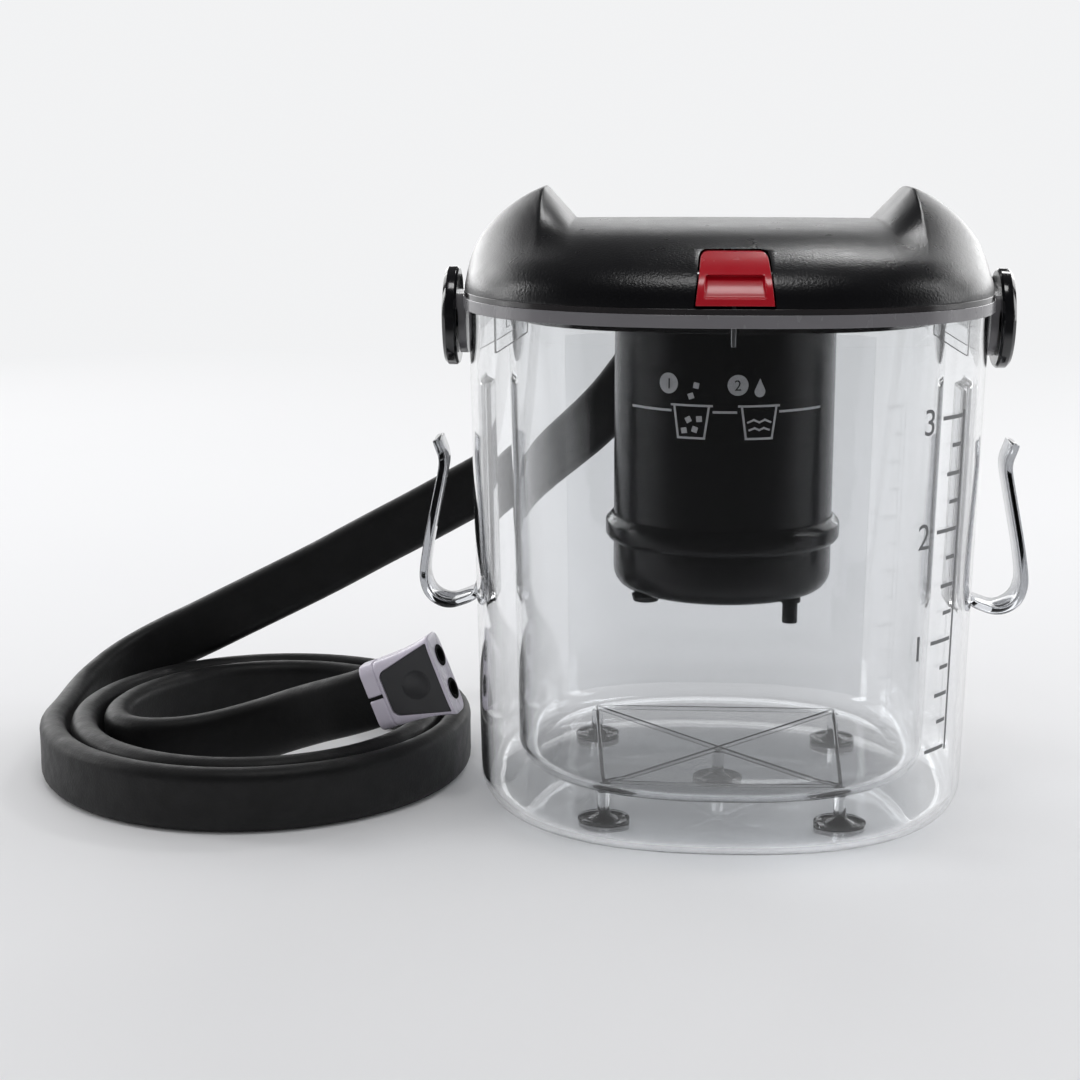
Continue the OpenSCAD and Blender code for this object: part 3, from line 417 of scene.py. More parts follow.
class Finishes:
    """Every finish of the machine, built once."""

    def __init__(self) -> None:
        """Builds the materials."""
        self.shell = ClearPlastic("clear shell", (0.975, 0.98, 0.985)).build()
        self.liner = ClearPlastic("clear liner", (0.97, 0.975, 0.98), ripple=0.00004).build()
        self.rim = MouldedPlastic("satin grey rim", (0.17, 0.165, 0.175), (0.2, 0.3), depth=0.00001,
                                  spread=0.06, coat=0.4).build()
        self.hook = ClearPlastic("smoked hook", (0.42, 0.43, 0.45)).build()
        self.lid = MouldedPlastic("grained black lid", (0.004, 0.004, 0.005), (0.27, 0.31),
                                  grain=1000.0, depth=0.00014).build()
        self.strip = MouldedPlastic("dark edge strip", (0.022, 0.020, 0.021), (0.14, 0.2), depth=0.00001,
                                    coat=0.5).build()
        self.canister = MouldedPlastic("satin black canister", (0.003, 0.003, 0.0035), (0.2, 0.22),
                                       depth=0.000004, specular=0.35).build()
        self.gloss = MouldedPlastic("gloss black handle", (0.006, 0.006, 0.007), (0.12, 0.18),
                                    depth=0.000006, coat=0.5).build()
        self.rubber = MouldedPlastic("matte rubber", (0.02, 0.02, 0.021), (0.6, 0.75), depth=0.00006).build()
        self.red = MouldedPlastic("gloss red latch", (0.42, 0.004, 0.014), (0.22, 0.28), depth=0.000004,
                                  spread=0.05, coat=0.25).build()
        self.lilac = MouldedPlastic("pale lilac shell", (0.60, 0.56, 0.65), (0.22, 0.32), depth=0.00002,
                                    spread=0.05, coat=0.25).build()
        self.button = MouldedPlastic("dark grey button", (0.035, 0.035, 0.038), (0.36, 0.46),
                                     depth=0.00005).build()
        self.bore = MouldedPlastic("dark port bore", (0.003, 0.003, 0.003), (0.7, 0.8), specular=0.1).build()
        self.grey = MouldedPlastic("dark grey moulding", (0.09, 0.09, 0.10), (0.35, 0.5)).build()
        self.tube = MouldedPlastic("pale water tube", (0.62, 0.60, 0.66), (0.25, 0.4), depth=0.00001,
                                   coat=0.3).build()
        self.steel = BrushedSteel("brushed steel", (0.62, 0.62, 0.63)).build()
        self.foam = FoamSleeve("foam hose sleeve", (0.006, 0.006, 0.0065)).build()
        self.pale_ink = PrintInk("pale print", (0.62, 0.62, 0.63)).build()
        self.dark_ink = PrintInk("black print", (0.02, 0.02, 0.02)).build()
        self.grey_ink = PrintInk("grey print", (0.16, 0.165, 0.17)).build()
        self.film = ClearPlastic("clear label film", (0.955, 0.96, 0.965), ripple=0.00001).build()


# ---------------------------------------------------------------- shaping


class RingLoft:
    """A skin drawn by extruding one ring of edges from place to place.

    Args:
        turns: One number for each corner of the ring, which is handed to each place function.
    """

    def __init__(self, turns: Sequence[float]) -> None:
        """Makes the first ring."""
        self.bm = bmesh.new()
        self.turn = self.bm.verts.layers.float.new("turn")
        made = bmesh.ops.create_circle(self.bm, cap_ends=False, radius=1.0, segments=len(turns))["verts"]
        for corner, turn in zip(made, turns):
            corner[self.turn] = turn
        self.edges = list(self.bm.edges)
        self.first = list(self.edges)
        self.corners = list(made)
        self.placed = False

    def level(self, place: Callable[[float], Vector]) -> "RingLoft":
        """Carries the skin on to a new ring.

        Args:
            place: Gives each corner's position in metres for its turn.

        Returns:
            The loft itself.
        """
        if self.placed:
            grown = bmesh.ops.extrude_edge_only(self.bm, edges=self.edges)["geom"]
            self.corners = [g for g in grown if isinstance(g, bmesh.types.BMVert)]
            fresh = set(self.corners)
            self.edges = [g for g in grown if isinstance(g, bmesh.types.BMEdge) and fresh.issuperset(g.verts)]
        for corner in self.corners:
            corner.co = place(corner[self.turn])
        self.placed = True
        return self

    def capped(self) -> bmesh.types.BMesh:
        """Closes both ends with a flat face and returns the solid."""
        bmesh.ops.contextual_create(self.bm, geom=self.first)
        bmesh.ops.contextual_create(self.bm, geom=self.edges)
        return closed(self.bm)


def closed(bm: bmesh.types.BMesh) -> bmesh.types.BMesh:
    """Merges doubles and turns the faces outwards."""
    bmesh.ops.remove_doubles(bm, verts=bm.verts, dist=2e-7)
    bmesh.ops.recalc_face_normals(bm, faces=bm.faces)
    return bm


def piece(name: str, bm: bmesh.types.BMesh, body: Body | None, material: bpy.types.Material,
          replaces: Iterable[str] = (), crease: float = 35.0) -> bpy.types.Object:
    """Makes a finished piece of a mesh.

    Args:
        name: The piece's name.
        bm: Its mesh, which is used up.
        body: The body it rides on, or None to leave it on no body.
        material: Its finish.
        replaces: CAD nodes that it stands for.
        crease: Edges sharper than this many degrees stay sharp.

    Returns:
        The new object.
    """
    mesh = bpy.data.meshes.new(name)
    bm.to_mesh(mesh)
    bm.free()
    mesh.shade_smooth()
    mesh.set_sharp_from_angle(angle=math.radians(crease))
    mesh.materials.append(material)
    thing = bpy.data.objects.new(name, mesh)
    bpy.context.scene.collection.objects.link(thing)
    if body is not None:
        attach(thing, body.value)
    nodes = list(replaces)
    if nodes:
        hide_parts(*nodes)
    LOG.info("%s: %d faces, rides on %s", name, len(mesh.polygons), body.value if body else "its cord")
    return thing


def softened(thing: bpy.types.Object, width: float, segments: int = 2, angle: float = 32.0) -> bpy.types.Object:
    """Rounds a piece's sharp edges with a bevel.

    Args:
        thing: The piece.
        width: Width of the bevel in millimetres.
        segments: Its segments.
        angle: Edges sharper than this many degrees are rounded.

    Returns:
        The piece itself.
    """
    bevel = thing.modifiers.new("rounded edges", "BEVEL")
    bevel.width = width * MM
    bevel.segments = segments
    bevel.limit_method = "ANGLE"
    bevel.angle_limit = math.radians(angle)
    bevel.use_clamp_overlap = True
    bevel.harden_normals = False
    return thing


def cutter(bm: bmesh.types.BMesh) -> bpy.types.Object:
    """Turns a closed mesh into a cutter."""
    mesh = bpy.data.meshes.new("cutter")
    closed(bm).to_mesh(mesh)
    bm.free()
    tool = bpy.data.objects.new("cutter", mesh)
    bpy.context.scene.collection.objects.link(tool)
    return tool


def cut(thing: bpy.types.Object, tool: bpy.types.Object) -> None:
    """Cuts a tool's shape out of a piece, applies it, and removes the tool."""
    opening = thing.modifiers.new("opening", "BOOLEAN")
    opening.operation = "DIFFERENCE"
    opening.solver = "EXACT"
    opening.object = tool
    bpy.context.view_layer.update()
    made = bpy.data.meshes.new_from_object(thing.evaluated_get(bpy.context.evaluated_depsgraph_get()))
    thing.modifiers.clear()
    old = thing.data
    thing.data = made
    bpy.data.meshes.remove(old)
    bpy.data.objects.remove(tool)


def body_of(node: str) -> Body:
    """Returns the body that a CAD node belongs to."""
    groups = frame["record"]["behaviour"]["bodies"]
    return Body(next(name for name, nodes in groups.items() if node in nodes))


def refined(node: str, material: bpy.types.Material, width: float = 0.5,
            spread: tuple[float, float] | None = None, crease: float = 35.0) -> bpy.types.Object:
    """Stands for a CAD node by a copy with merged corners, smooth shading and rounded edges.

    Args:
        node: The CAD node.
        material: Its finish.
        width: Width of the rounding in millimetres, or 0 for none.
        spread: How far it stands further out than the node, and above which height, or None.
        crease: Edges sharper than this many degrees stay sharp.

    Returns:
        The new piece.
    """
    bm = bmesh.new()
    bm.from_mesh(frame["nodes"][node].data)
    bmesh.ops.remove_doubles(bm, verts=bm.verts, dist=1e-6)
    bmesh.ops.dissolve_limit(bm, angle_limit=math.radians(0.4), verts=bm.verts, edges=bm.edges)
    if spread is not None:
        raised = [v for v in bm.verts if v.co.z > spread[1] * MM and v.co.xy.length > 0.1]
        for corner in raised:
            corner.co.xy *= 1 + spread[0] * MM / corner.co.xy.length
    thing = piece(f"{node}_finished", bm, body_of(node), material, [node], crease)
    return softened(thing, width) if width else thing


def dressed(node: str, material: bpy.types.Material) -> None:
    """Gives a CAD node that stays as it is its finish."""
    mesh = frame["nodes"][node].data
    mesh.materials.clear()
    mesh.materials.append(material)
    LOG.info("%s keeps its CAD shape", node)


# ---------------------------------------------------------------- hose


@dataclass
class FlatHose:
    """The flat twin hose: down from the gland, round its coil on the floor, and up to the connector.

    Args:
        width: Width of the hose.
        thickness: Thickness of the hose.
        pitch: How far the coil winds inwards in one turn.
    """

    width: float = 28.0
    thickness: float = 12.0
    pitch: float = 14.2
    coil_at: tuple[float, float] = (-211.8, 38.0)
    coil_half: tuple[float, float] = (98.3, 103.5)
    coil_from: float = 175.0
    coil_to: float = 895.0
    start: tuple[float, float, float] = (-3.0, 116.3, 226.0)
    slope: float = 50.0
    seat: float = 0.3
    connector: tuple[float, float, float] = (-147.8, -4.6, 46.5)
    connector_tip: float = 21.8
    connector_turn: float = -10.6

    LEAD = ((-12.4, 116.3, 214.6), (-22.2, 116.3, 202.3), (-32.4, 116.3, 189), (-42.6, 116.3, 175.8),
            (-53.5, 116.5, 163), (-66.5, 117, 151.2), (-83, 118.2, 139.4), (-101.5, 120, 128),
            (-122, 122, 116.2), (-146, 123.6, 102.6), (-171, 124.9, 89), (-196, 125.6, 75.2),
            (-219, 126, 63.3), (-241, 126, 52.2), (-260, 125.6, 42.6), (-277, 123.2, 34.6),
            (-291.5, 116.8, 27.6), (-302, 106, 21.9), (-308.2, 91.6, 17.6), (-310.8, 75.6, 14.9))
    TAIL = ((-280.8, 32, 14), (-278.4, 22.8, 14), (-273, 15.4, 14), (-265, 10.7, 14.1), (-255.4, 9, 14.4),
            (-244, 9.6, 15.2), (-232, 11.6, 16.8), (-219.5, 13.4, 19.6), (-206.5, 13, 23.6),
            (-193.5, 10.2, 28.7), (-181, 5.4, 33.7), (-170.5, 0.7, 37.7), (-160.6, -2.2, 41.3))

    def axis(self) -> Vector:
        """Returns the connector's direction, from the hose to the open end."""
        tip, turn = math.radians(self.connector_tip), math.radians(self.connector_turn)
        return Vector((math.cos(tip) * math.cos(turn), math.cos(tip) * math.sin(turn), math.sin(tip)))

    def coil_point(self, turn: float) -> Vector:
        """Returns the middle of the hose at a turn of the coil, in degrees."""
        inset = self.pitch * (turn - self.coil_from) / 360
        angle = math.radians(turn)
        return Vector((self.coil_at[0] + (self.coil_half[0] - inset) * math.cos(angle),
                       self.coil_at[1] + (self.coil_half[1] - inset) * math.sin(angle), self.width / 2))

    def route(self) -> list[Vector]:
        """Returns the middle line from the gland to the connector, in millimetres."""
        slope = math.radians(self.slope)
        leave = Vector((-math.cos(slope), 0, -math.sin(slope)))
        steps = math.ceil((self.coil_to - self.coil_from) / 15)
        coil = [self.coil_point(mix(self.coil_from, self.coil_to, i / steps)) for i in range(steps + 1)]
        points = [Vector(self.start) + self.seat * leave]
        points += [Vector(p) for p in self.LEAD] + coil + [Vector(p) for p in self.TAIL]
        points.append(Vector(self.connector) - self.seat * self.axis())
        return catmull(points, 3)

    def section(self) -> list[tuple[float, float]]:
        """Returns the hose's cross-section, as distances sideways and along its width."""
        half_t, half_w, end = self.thickness / 2, self.width / 2, 5.6
        arc = [math.radians(t) for t in range(0, 181, 15)]
        top = [(half_t * math.copysign(abs(math.cos(a)) ** 0.9, math.cos(a)),
                half_w - end + end * math.sin(a) ** 0.9) for a in arc]
        low = [(-x, -y) for x, y in top]
        side = [(-half_t + 0.12, mix(half_w - end, end - half_w, k / 4)) for k in (1, 2, 3)]
        return top + side + low + [(-x, -y) for x, y in side]

    def build(self, finishes: Finishes) -> None:
        route = [p * MM for p in self.route()]
        section = self.section()
        loft = RingLoft(range(len(section)))
        last = len(route) - 1
        slope = math.radians(self.slope)
        for i, point in enumerate(route):
            ahead = (route[min(i + 1, last)] - route[max(i - 1, 0)]).normalized()
            if i == 0:
                ahead = Vector((-math.cos(slope), 0, -math.sin(slope)))
            if i == last:
                ahead = self.axis()
            side = ahead.cross(Vector((0, 0, 1))).normalized()
            up = side.cross(ahead)
            loft.level(lambda turn: point + (section[round(turn)][0] * side + section[round(turn)][1] * up) * MM)
        hose = piece("hose", loft.capped(), None, finishes.foam,
                     ["hose_lead", "hose_coil", "hose_tail"], crease=50)
        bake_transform(hose)


# ---------------------------------------------------------------- tank


@dataclass
class Plan:
    """Outline of the tank, seen from above, at each height.

    Args:
        half_w: Half the tank's width at its rim.
        half_d: Half its depth at its rim.
    """

    half_w: float = 110.0
    half_d: float = 106.0
    draft_w: float = 10.0
    draft_d: float = 8.0
    power: float = 2.4
    height: float = 220.0
    foot: float = 4.0

    def reach(self, a: float, b: float, turn: float) -> float:
        """Returns the outline's distance from the middle, in a direction in degrees."""
        angle = math.radians(turn)
        return ((abs(math.cos(angle)) / a) ** self.power
                + (abs(math.sin(angle)) / b) ** self.power) ** (-1 / self.power)

    def at(self, turn: float, z: float, inset: float = 0.0) -> Vector:
        """Returns a point of the wall.

        Args:
            turn: Direction from the middle in degrees.
            z: Height.
            inset: Distance inside the outer face.

        Returns:
            The point in metres.
        """
        drop = (1 - z / self.height) / 2
        reach = self.reach(self.half_w - self.draft_w * drop - inset,
                           self.half_d - self.draft_d * drop - inset, turn)
        angle = math.radians(turn)
        return mm(reach * math.cos(angle), reach * math.sin(angle), z)


@dataclass
class Tank:
    """The clear double-wall tank with its rim, posts, hooks and feet."""

    plan: Plan
    wall: float = 3.0
    liner_wall: float = 2.5
    wall_space: float = 16.5
    base_round: float = 14.0
    liner_round: float = 11.0
    floor_space: float = 15.0
    recess_half: float = 10.6
    recess_depth: float = 4.5
    recess_low: float = 88.0
    recess_high: float = 188.0
    hook_t: float = 3.5
    hook_w: float = 20.0

    def turns(self) -> list[float]:
        """Returns the directions round the shell, close together beside each hook's recess."""
        edge = math.degrees(math.atan(self.recess_half / (self.plan.half_w - self.recess_depth)))
        quarter = [0, edge * 0.4, edge * 0.75, edge - 0.55, edge - 0.15, edge + 0.15, edge + 0.55, edge + 1.6]
        rest = 30
        quarter += [mix(edge + 1.6, 90, (i + 1) / rest) for i in range(rest)]
        half = quarter + [180 - t for t in reversed(quarter[:-1])]
        return half + [t + 180 for t in half[1:-1]]

    def pressed(self, turn: float, z: float) -> float:
        """Returns how deep the hook's recess is at a place, as a share."""
        edge = math.degrees(math.atan(self.recess_half / (self.plan.half_w - self.recess_depth)))
        off = min(abs(turn), abs(turn - 180), abs(turn - 360))
        across = smooth((edge + 0.35 - off) / 0.7)
        return across * smooth((z - self.recess_low) / 2.5) * smooth((self.recess_high - z) / 2.5)

    def cup(self, loft: RingLoft, floor: float, inset: float, corner: float, levels: Sequence[float],
            recess: bool, upwards: bool) -> None:
        """Draws one face of a cup.

        Args:
            loft: The skin that goes on.
            floor: Height of the cup's floor.
            inset: Distance inside the tank's outer face.
            corner: Radius of its bottom edge.
            levels: Heights of the rings above that edge.
            recess: True where the hooks' recesses show.
            upwards: True from the floor up, False from the top down.
        """
        rings = [(floor + corner * (1 - math.sin(math.radians(90 - 9 * k))),
                  inset + corner * (1 - math.cos(math.radians(90 - 9 * k)))) for k in range(11)]
        rings += [(z, inset) for z in levels]
        for z, depth in rings if upwards else reversed(rings):
            loft.level(lambda turn: self.plan.at(
                turn, z, depth + (self.recess_depth * self.pressed(turn, z) if recess else 0)))

    def shell(self, finishes: Finishes) -> None:
        """Makes the outer shell."""
        loft = RingLoft(self.turns())
        low, high = self.recess_low, self.recess_high
        levels = [40, 64, low - 1, low, low + 0.6, low + 1.3, low + 2, low + 2.5, low + 4, 105, 125, 145, 165,
                  high - 4, high - 2.5, high - 2, high - 1.3, high - 0.6, high, high + 1, 204, self.plan.height]
        self.cup(loft, self.plan.foot, 0, self.base_round, levels, True, True)
        self.cup(loft, self.plan.foot + self.wall, self.wall, self.base_round - self.wall, levels, True, False)
        piece("outer_tank_shell", loft.capped(), Body.TANK, finishes.shell, ["outer_shell"],
              crease=60)

    def liner(self, finishes: Finishes) -> None:
        """Makes the inner bucket with the ribs under its floor."""
        floor = self.plan.foot + self.wall + self.floor_space
        loft = RingLoft([360 * i / 144 for i in range(144)])
        levels = [60, 110, 165, self.plan.height]
        self.cup(loft, floor, self.wall_space, self.liner_round, levels, False, True)
        self.cup(loft, floor + self.liner_wall, self.wall_space + self.liner_wall,
                 self.liner_round - self.liner_wall, levels, False, False)
        piece("inner_ice_bucket", loft.capped(), Body.TANK, finishes.liner, ["inner_bucket"],
              crease=60)
        front, rear = Vector((49.5, -57.5)), Vector((57.5, 60.0))
        bm = bmesh.new()
        spans = [((-front.x, front.y), (front.x, front.y)), ((-rear.x, rear.y), (rear.x, rear.y))]
        for side in (-1, 1):
            spans += [((side * front.x, front.y), (side * rear.x, rear.y)),
                      ((-side * front.x, front.y), (side * rear.x, rear.y))]
        for start, end in spans:
            self.rib(bm, Vector(start), Vector(end), floor)
        ribs = piece("floor_ribs", closed(bm), Body.TANK, finishes.liner)
        softened(ribs, 0.3, 1)

    def rib(self, bm: bmesh.types.BMesh, start: Vector, end: Vector, floor: float) -> None:
        """Adds one moulded rib under the inner floor."""
        run = end - start
        turn = Matrix.Rotation(math.atan2(run.y, run.x), 4, "Z")
        middle = (start + end) / 2
        size = Matrix.Diagonal((run.length * MM, 1.6 * MM, 2 * MM, 1))
        bmesh.ops.create_cube(bm, size=1.0, matrix=Matrix.Translation(mm(middle.x, middle.y, floor - 1)) @ turn @ size)

    def hook_line(self) -> list[Vector]:
        """Returns the middle line of a hook's strip, out from the tank's middle and up."""
        def recess_floor(z: float) -> float:
            return self.plan.half_w - self.plan.draft_w / 2 * (1 - z / self.plan.height) - self.recess_depth
        out = self.hook_t / 2 + 0.3
        inner = [(recess_floor(z) + out, z) for z in (self.recess_high - 2.5, 140, 106)]
        inner += [(recess_floor(98) + out + 0.9, 99.4), (recess_floor(94) + out + 3.6, 92.6)]
        outer = [(5.4, 89.2), (10.2, 88.4), (14.8, 89.8), (18.4, 93), (20.3, 97.6), (20.6, 103.5),
                 (18.9, 115), (15.7, 131), (12.8, 145), (11.9, 150.5), (12.2, 154.5), (13.6, 158.5), (14.6, 161.5)]
        points = inner + [(self.plan.half_w + x, z) for x, z in outer]
        return catmull([Vector((x, 0, z)) for x, z in points], 5)

    def hook(self, side: int, name: str, node: str, finishes: Finishes) -> None:
        """Makes one side hook: a bent strip with rounded edges.

        Args:
            side: -1 for the left, 1 for the right.
            name: The piece's name.
            node: The CAD node that it stands for.
            finishes: The finishes.
        """
        line = self.hook_line()
        last = len(line) - 1
        half_w, half_t, edge = self.hook_w / 2, self.hook_t / 2, 0.9
        section = [(sx * (half_t - edge * (1 - math.cos(a))), sy * (half_w - edge * (1 - math.sin(a))))
                   for sx, sy, sweep in ((1, 1, (0, 30, 60, 90)), (-1, 1, (90, 60, 30, 0)),
                                         (-1, -1, (0, 30, 60, 90)), (1, -1, (90, 60, 30, 0)))
                   for a in map(math.radians, sweep)]
        loft = RingLoft(range(len(section)))
        for i, point in enumerate(line):
            ahead = (line[min(i + 1, last)] - line[max(i - 1, 0)]).normalized()
            across = Vector((-ahead.z, 0, ahead.x))
            shrink = 0.75 if i in (0, last) else 1.0
            def place(turn: float) -> Vector:
                x, y = section[round(turn)]
                spot = point + across * x * shrink + Vector((0, y * (0.97 if shrink < 1 else 1), 0))
                return mm(side * spot.x, spot.y, spot.z)
            loft.level(place)
        piece(name, loft.capped(), Body.TANK, finishes.hook, [node], crease=55)

    def level_scale(self, finishes: Finishes) -> None:
        """Prints the plain level scale on the right of the tank's front."""
        ink = Wrap(self.scale_place)
        for step in range(13):
            z = 44 + step * 11.5
            wide = 15 if step % 4 == 0 else 10 if step % 2 == 0 else 7
            ink.bar(16 - wide, z - 0.8, 16, z + 0.8)
        ink.bar(17, 42, 18.6, 184)
        for number, z in ((1, 90), (2, 136), (3, 182)):
            ink.words(str(number), -11, z - 6, 15)
        ink.finish("level_scale", Body.TANK, finishes.grey_ink)

    def scale_place(self, s: float, z: float) -> Vector:
        """Returns the place of a print's point on the shell's face."""
        return self.plan.at(-43 + math.degrees(s / 118), z, -0.12)

    def rear_label(self, finishes: Finishes) -> None:
        """Makes the plain clear sheet on the tank's rear."""
        bm = bmesh.new()
        bmesh.ops.create_grid(bm, x_segments=40, y_segments=24, size=1.0)
        for corner in bm.verts:
            corner.co = self.plan.at(90 + corner.co.x * 43, 111 + corner.co.y * 87, -0.15)
        bmesh.ops.recalc_face_normals(bm, faces=bm.faces)
        bmesh.ops.solidify(bm, geom=bm.faces[:], thickness=0.1 * MM)
        piece("rear_label", closed(bm), Body.TANK, finishes.film, crease=60)

    def rim_tabs(self, finishes: Finishes) -> None:
        """Makes the small wedges that stand between the two walls, under the rim."""
        bm = bmesh.new()
        for turn in (24, 33, 147, 156, 204, 213, 327, 336):
            along = (self.plan.at(turn + 0.5, 210) - self.plan.at(turn - 0.5, 210)).normalized()
            for corner in bmesh.ops.create_cube(bm, size=1.0)["verts"]:
                outer, upper = corner.co.x > 0, corner.co.z > 0
                z = self.plan.height - 0.6 if upper else 205.0 if outer else 213.0
                inset = self.wall + 0.1 if outer else self.wall_space - 0.1
                corner.co = self.plan.at(turn, z, inset) + along * math.copysign(0.9, corner.co.y) * MM
        softened(piece("rim_tabs", closed(bm), Body.TANK, finishes.shell), 0.25)

    def build(self, finishes: Finishes) -> None:
        """Makes every piece of the tank."""
        self.rim_tabs(finishes)
        self.shell(finishes)
        self.liner(finishes)
        self.hook(-1, "left_cord_hook", "hook_left", finishes)
        self.hook(1, "right_cord_hook", "hook_right", finishes)
        self.level_scale(finishes)
        self.rear_label(finishes)
        refined("rim_ring", finishes.rim, 0.7, spread=(0.7, self.plan.height - 1))
        refined("tank_feet", finishes.liner, 0.4)
        refined("floor_spacers", finishes.liner, 0.2)
        refined("pivot_screws", finishes.steel, 0.2)


class Wrap:
    """Flat print that is laid on a curved face.

    Args:
        place: Gives the place in metres of a flat point in millimetres.
    """

    def __init__(self, place: Callable[[float, float], Vector]) -> None:
        """Starts an empty print."""
        self.place = place
        self.bm = bmesh.new()

    def bar(self, x0: float, z0: float, x1: float, z1: float) -> None:
        """Adds a plain rectangle between two corners."""
        self.shape([(x0, z0), (x1, z0), (x1, z1), (x0, z1)])

    def shape(self, outline: Sequence[tuple[float, float]]) -> None:
        """Adds a filled outline."""
        corners = [self.bm.verts.new((x, z, 0)) for x, z in outline]
        self.bm.faces.new(corners)

    def stroke(self, line: Sequence[tuple[float, float]], width: float) -> None:
        """Adds a line of one width through points."""
        for (x0, z0), (x1, z1) in zip(line, line[1:]):
            run = Vector((x1 - x0, z1 - z0))
            off = Vector((-run.y, run.x)).normalized() * width / 2
            more = run.normalized() * width / 2
            self.shape([(x0 - more.x + off.x, z0 - more.y + off.y), (x0 - more.x - off.x, z0 - more.y - off.y),
                        (x1 + more.x - off.x, z1 + more.y - off.y), (x1 + more.x + off.x, z1 + more.y + off.y)])

    def disc(self, x: float, z: float, radius: float) -> None:
        """Adds a filled disc."""
        self.shape([(x + radius * math.cos(math.tau * i / 32), z + radius * math.sin(math.tau * i / 32))
                    for i in range(32)])

    def words(self, text: str, x: float, z: float, size: float) -> None:
        """Adds plain letters or numbers.

        Args:
            text: What is printed.
            x: Left edge.
            z: Base line.
            size: Height of the type.
        """
        curve = bpy.data.curves.new("type", "FONT")
        curve.body = text
        curve.size = size
        holder = bpy.data.objects.new("type", curve)
        bpy.context.scene.collection.objects.link(holder)
        bpy.context.view_layer.update()
        mesh = holder.evaluated_get(bpy.context.evaluated_depsgraph_get()).to_mesh()
        fresh = bmesh.new()
        fresh.from_mesh(mesh)
        bmesh.ops.translate(fresh, verts=fresh.verts, vec=(x, z, 0))
        holder.to_mesh_clear()
        kept = bpy.data.meshes.new("type")
        fresh.to_mesh(kept)
        fresh.free()
        self.bm.from_mesh(kept)
        bpy.data.meshes.remove(kept)
        bpy.data.objects.remove(holder)
        bpy.data.curves.remove(curve)

    def finish(self, name: str, body: Body, material: bpy.types.Material,
               thickness: float = 0.08) -> bpy.types.Object:
        """Lays the print on its face and gives it its thickness.

        Args:
            name: The piece's name.
            body: The body it rides on.
            material: Its ink.
            thickness: How thick the ink is.

        Returns:
            The new piece.
        """
        for step in range(-60, 61, 4):
            geometry = self.bm.verts[:] + self.bm.edges[:] + self.bm.faces[:]
            bmesh.ops.bisect_plane(self.bm, geom=geometry, plane_co=(step, 0, 0), plane_no=(1, 0, 0))
        for corner in self.bm.verts:
            corner.co = self.place(corner.co.x, corner.co.y)
        bmesh.ops.remove_doubles(self.bm, verts=self.bm.verts, dist=1e-7)
        bmesh.ops.recalc_face_normals(self.bm, faces=self.bm.faces)
        bmesh.ops.solidify(self.bm, geom=self.bm.faces[:], thickness=thickness * MM)
        return piece(name, closed(self.bm), body, material, crease=60)


# ---------------------------------------------------------------- lid


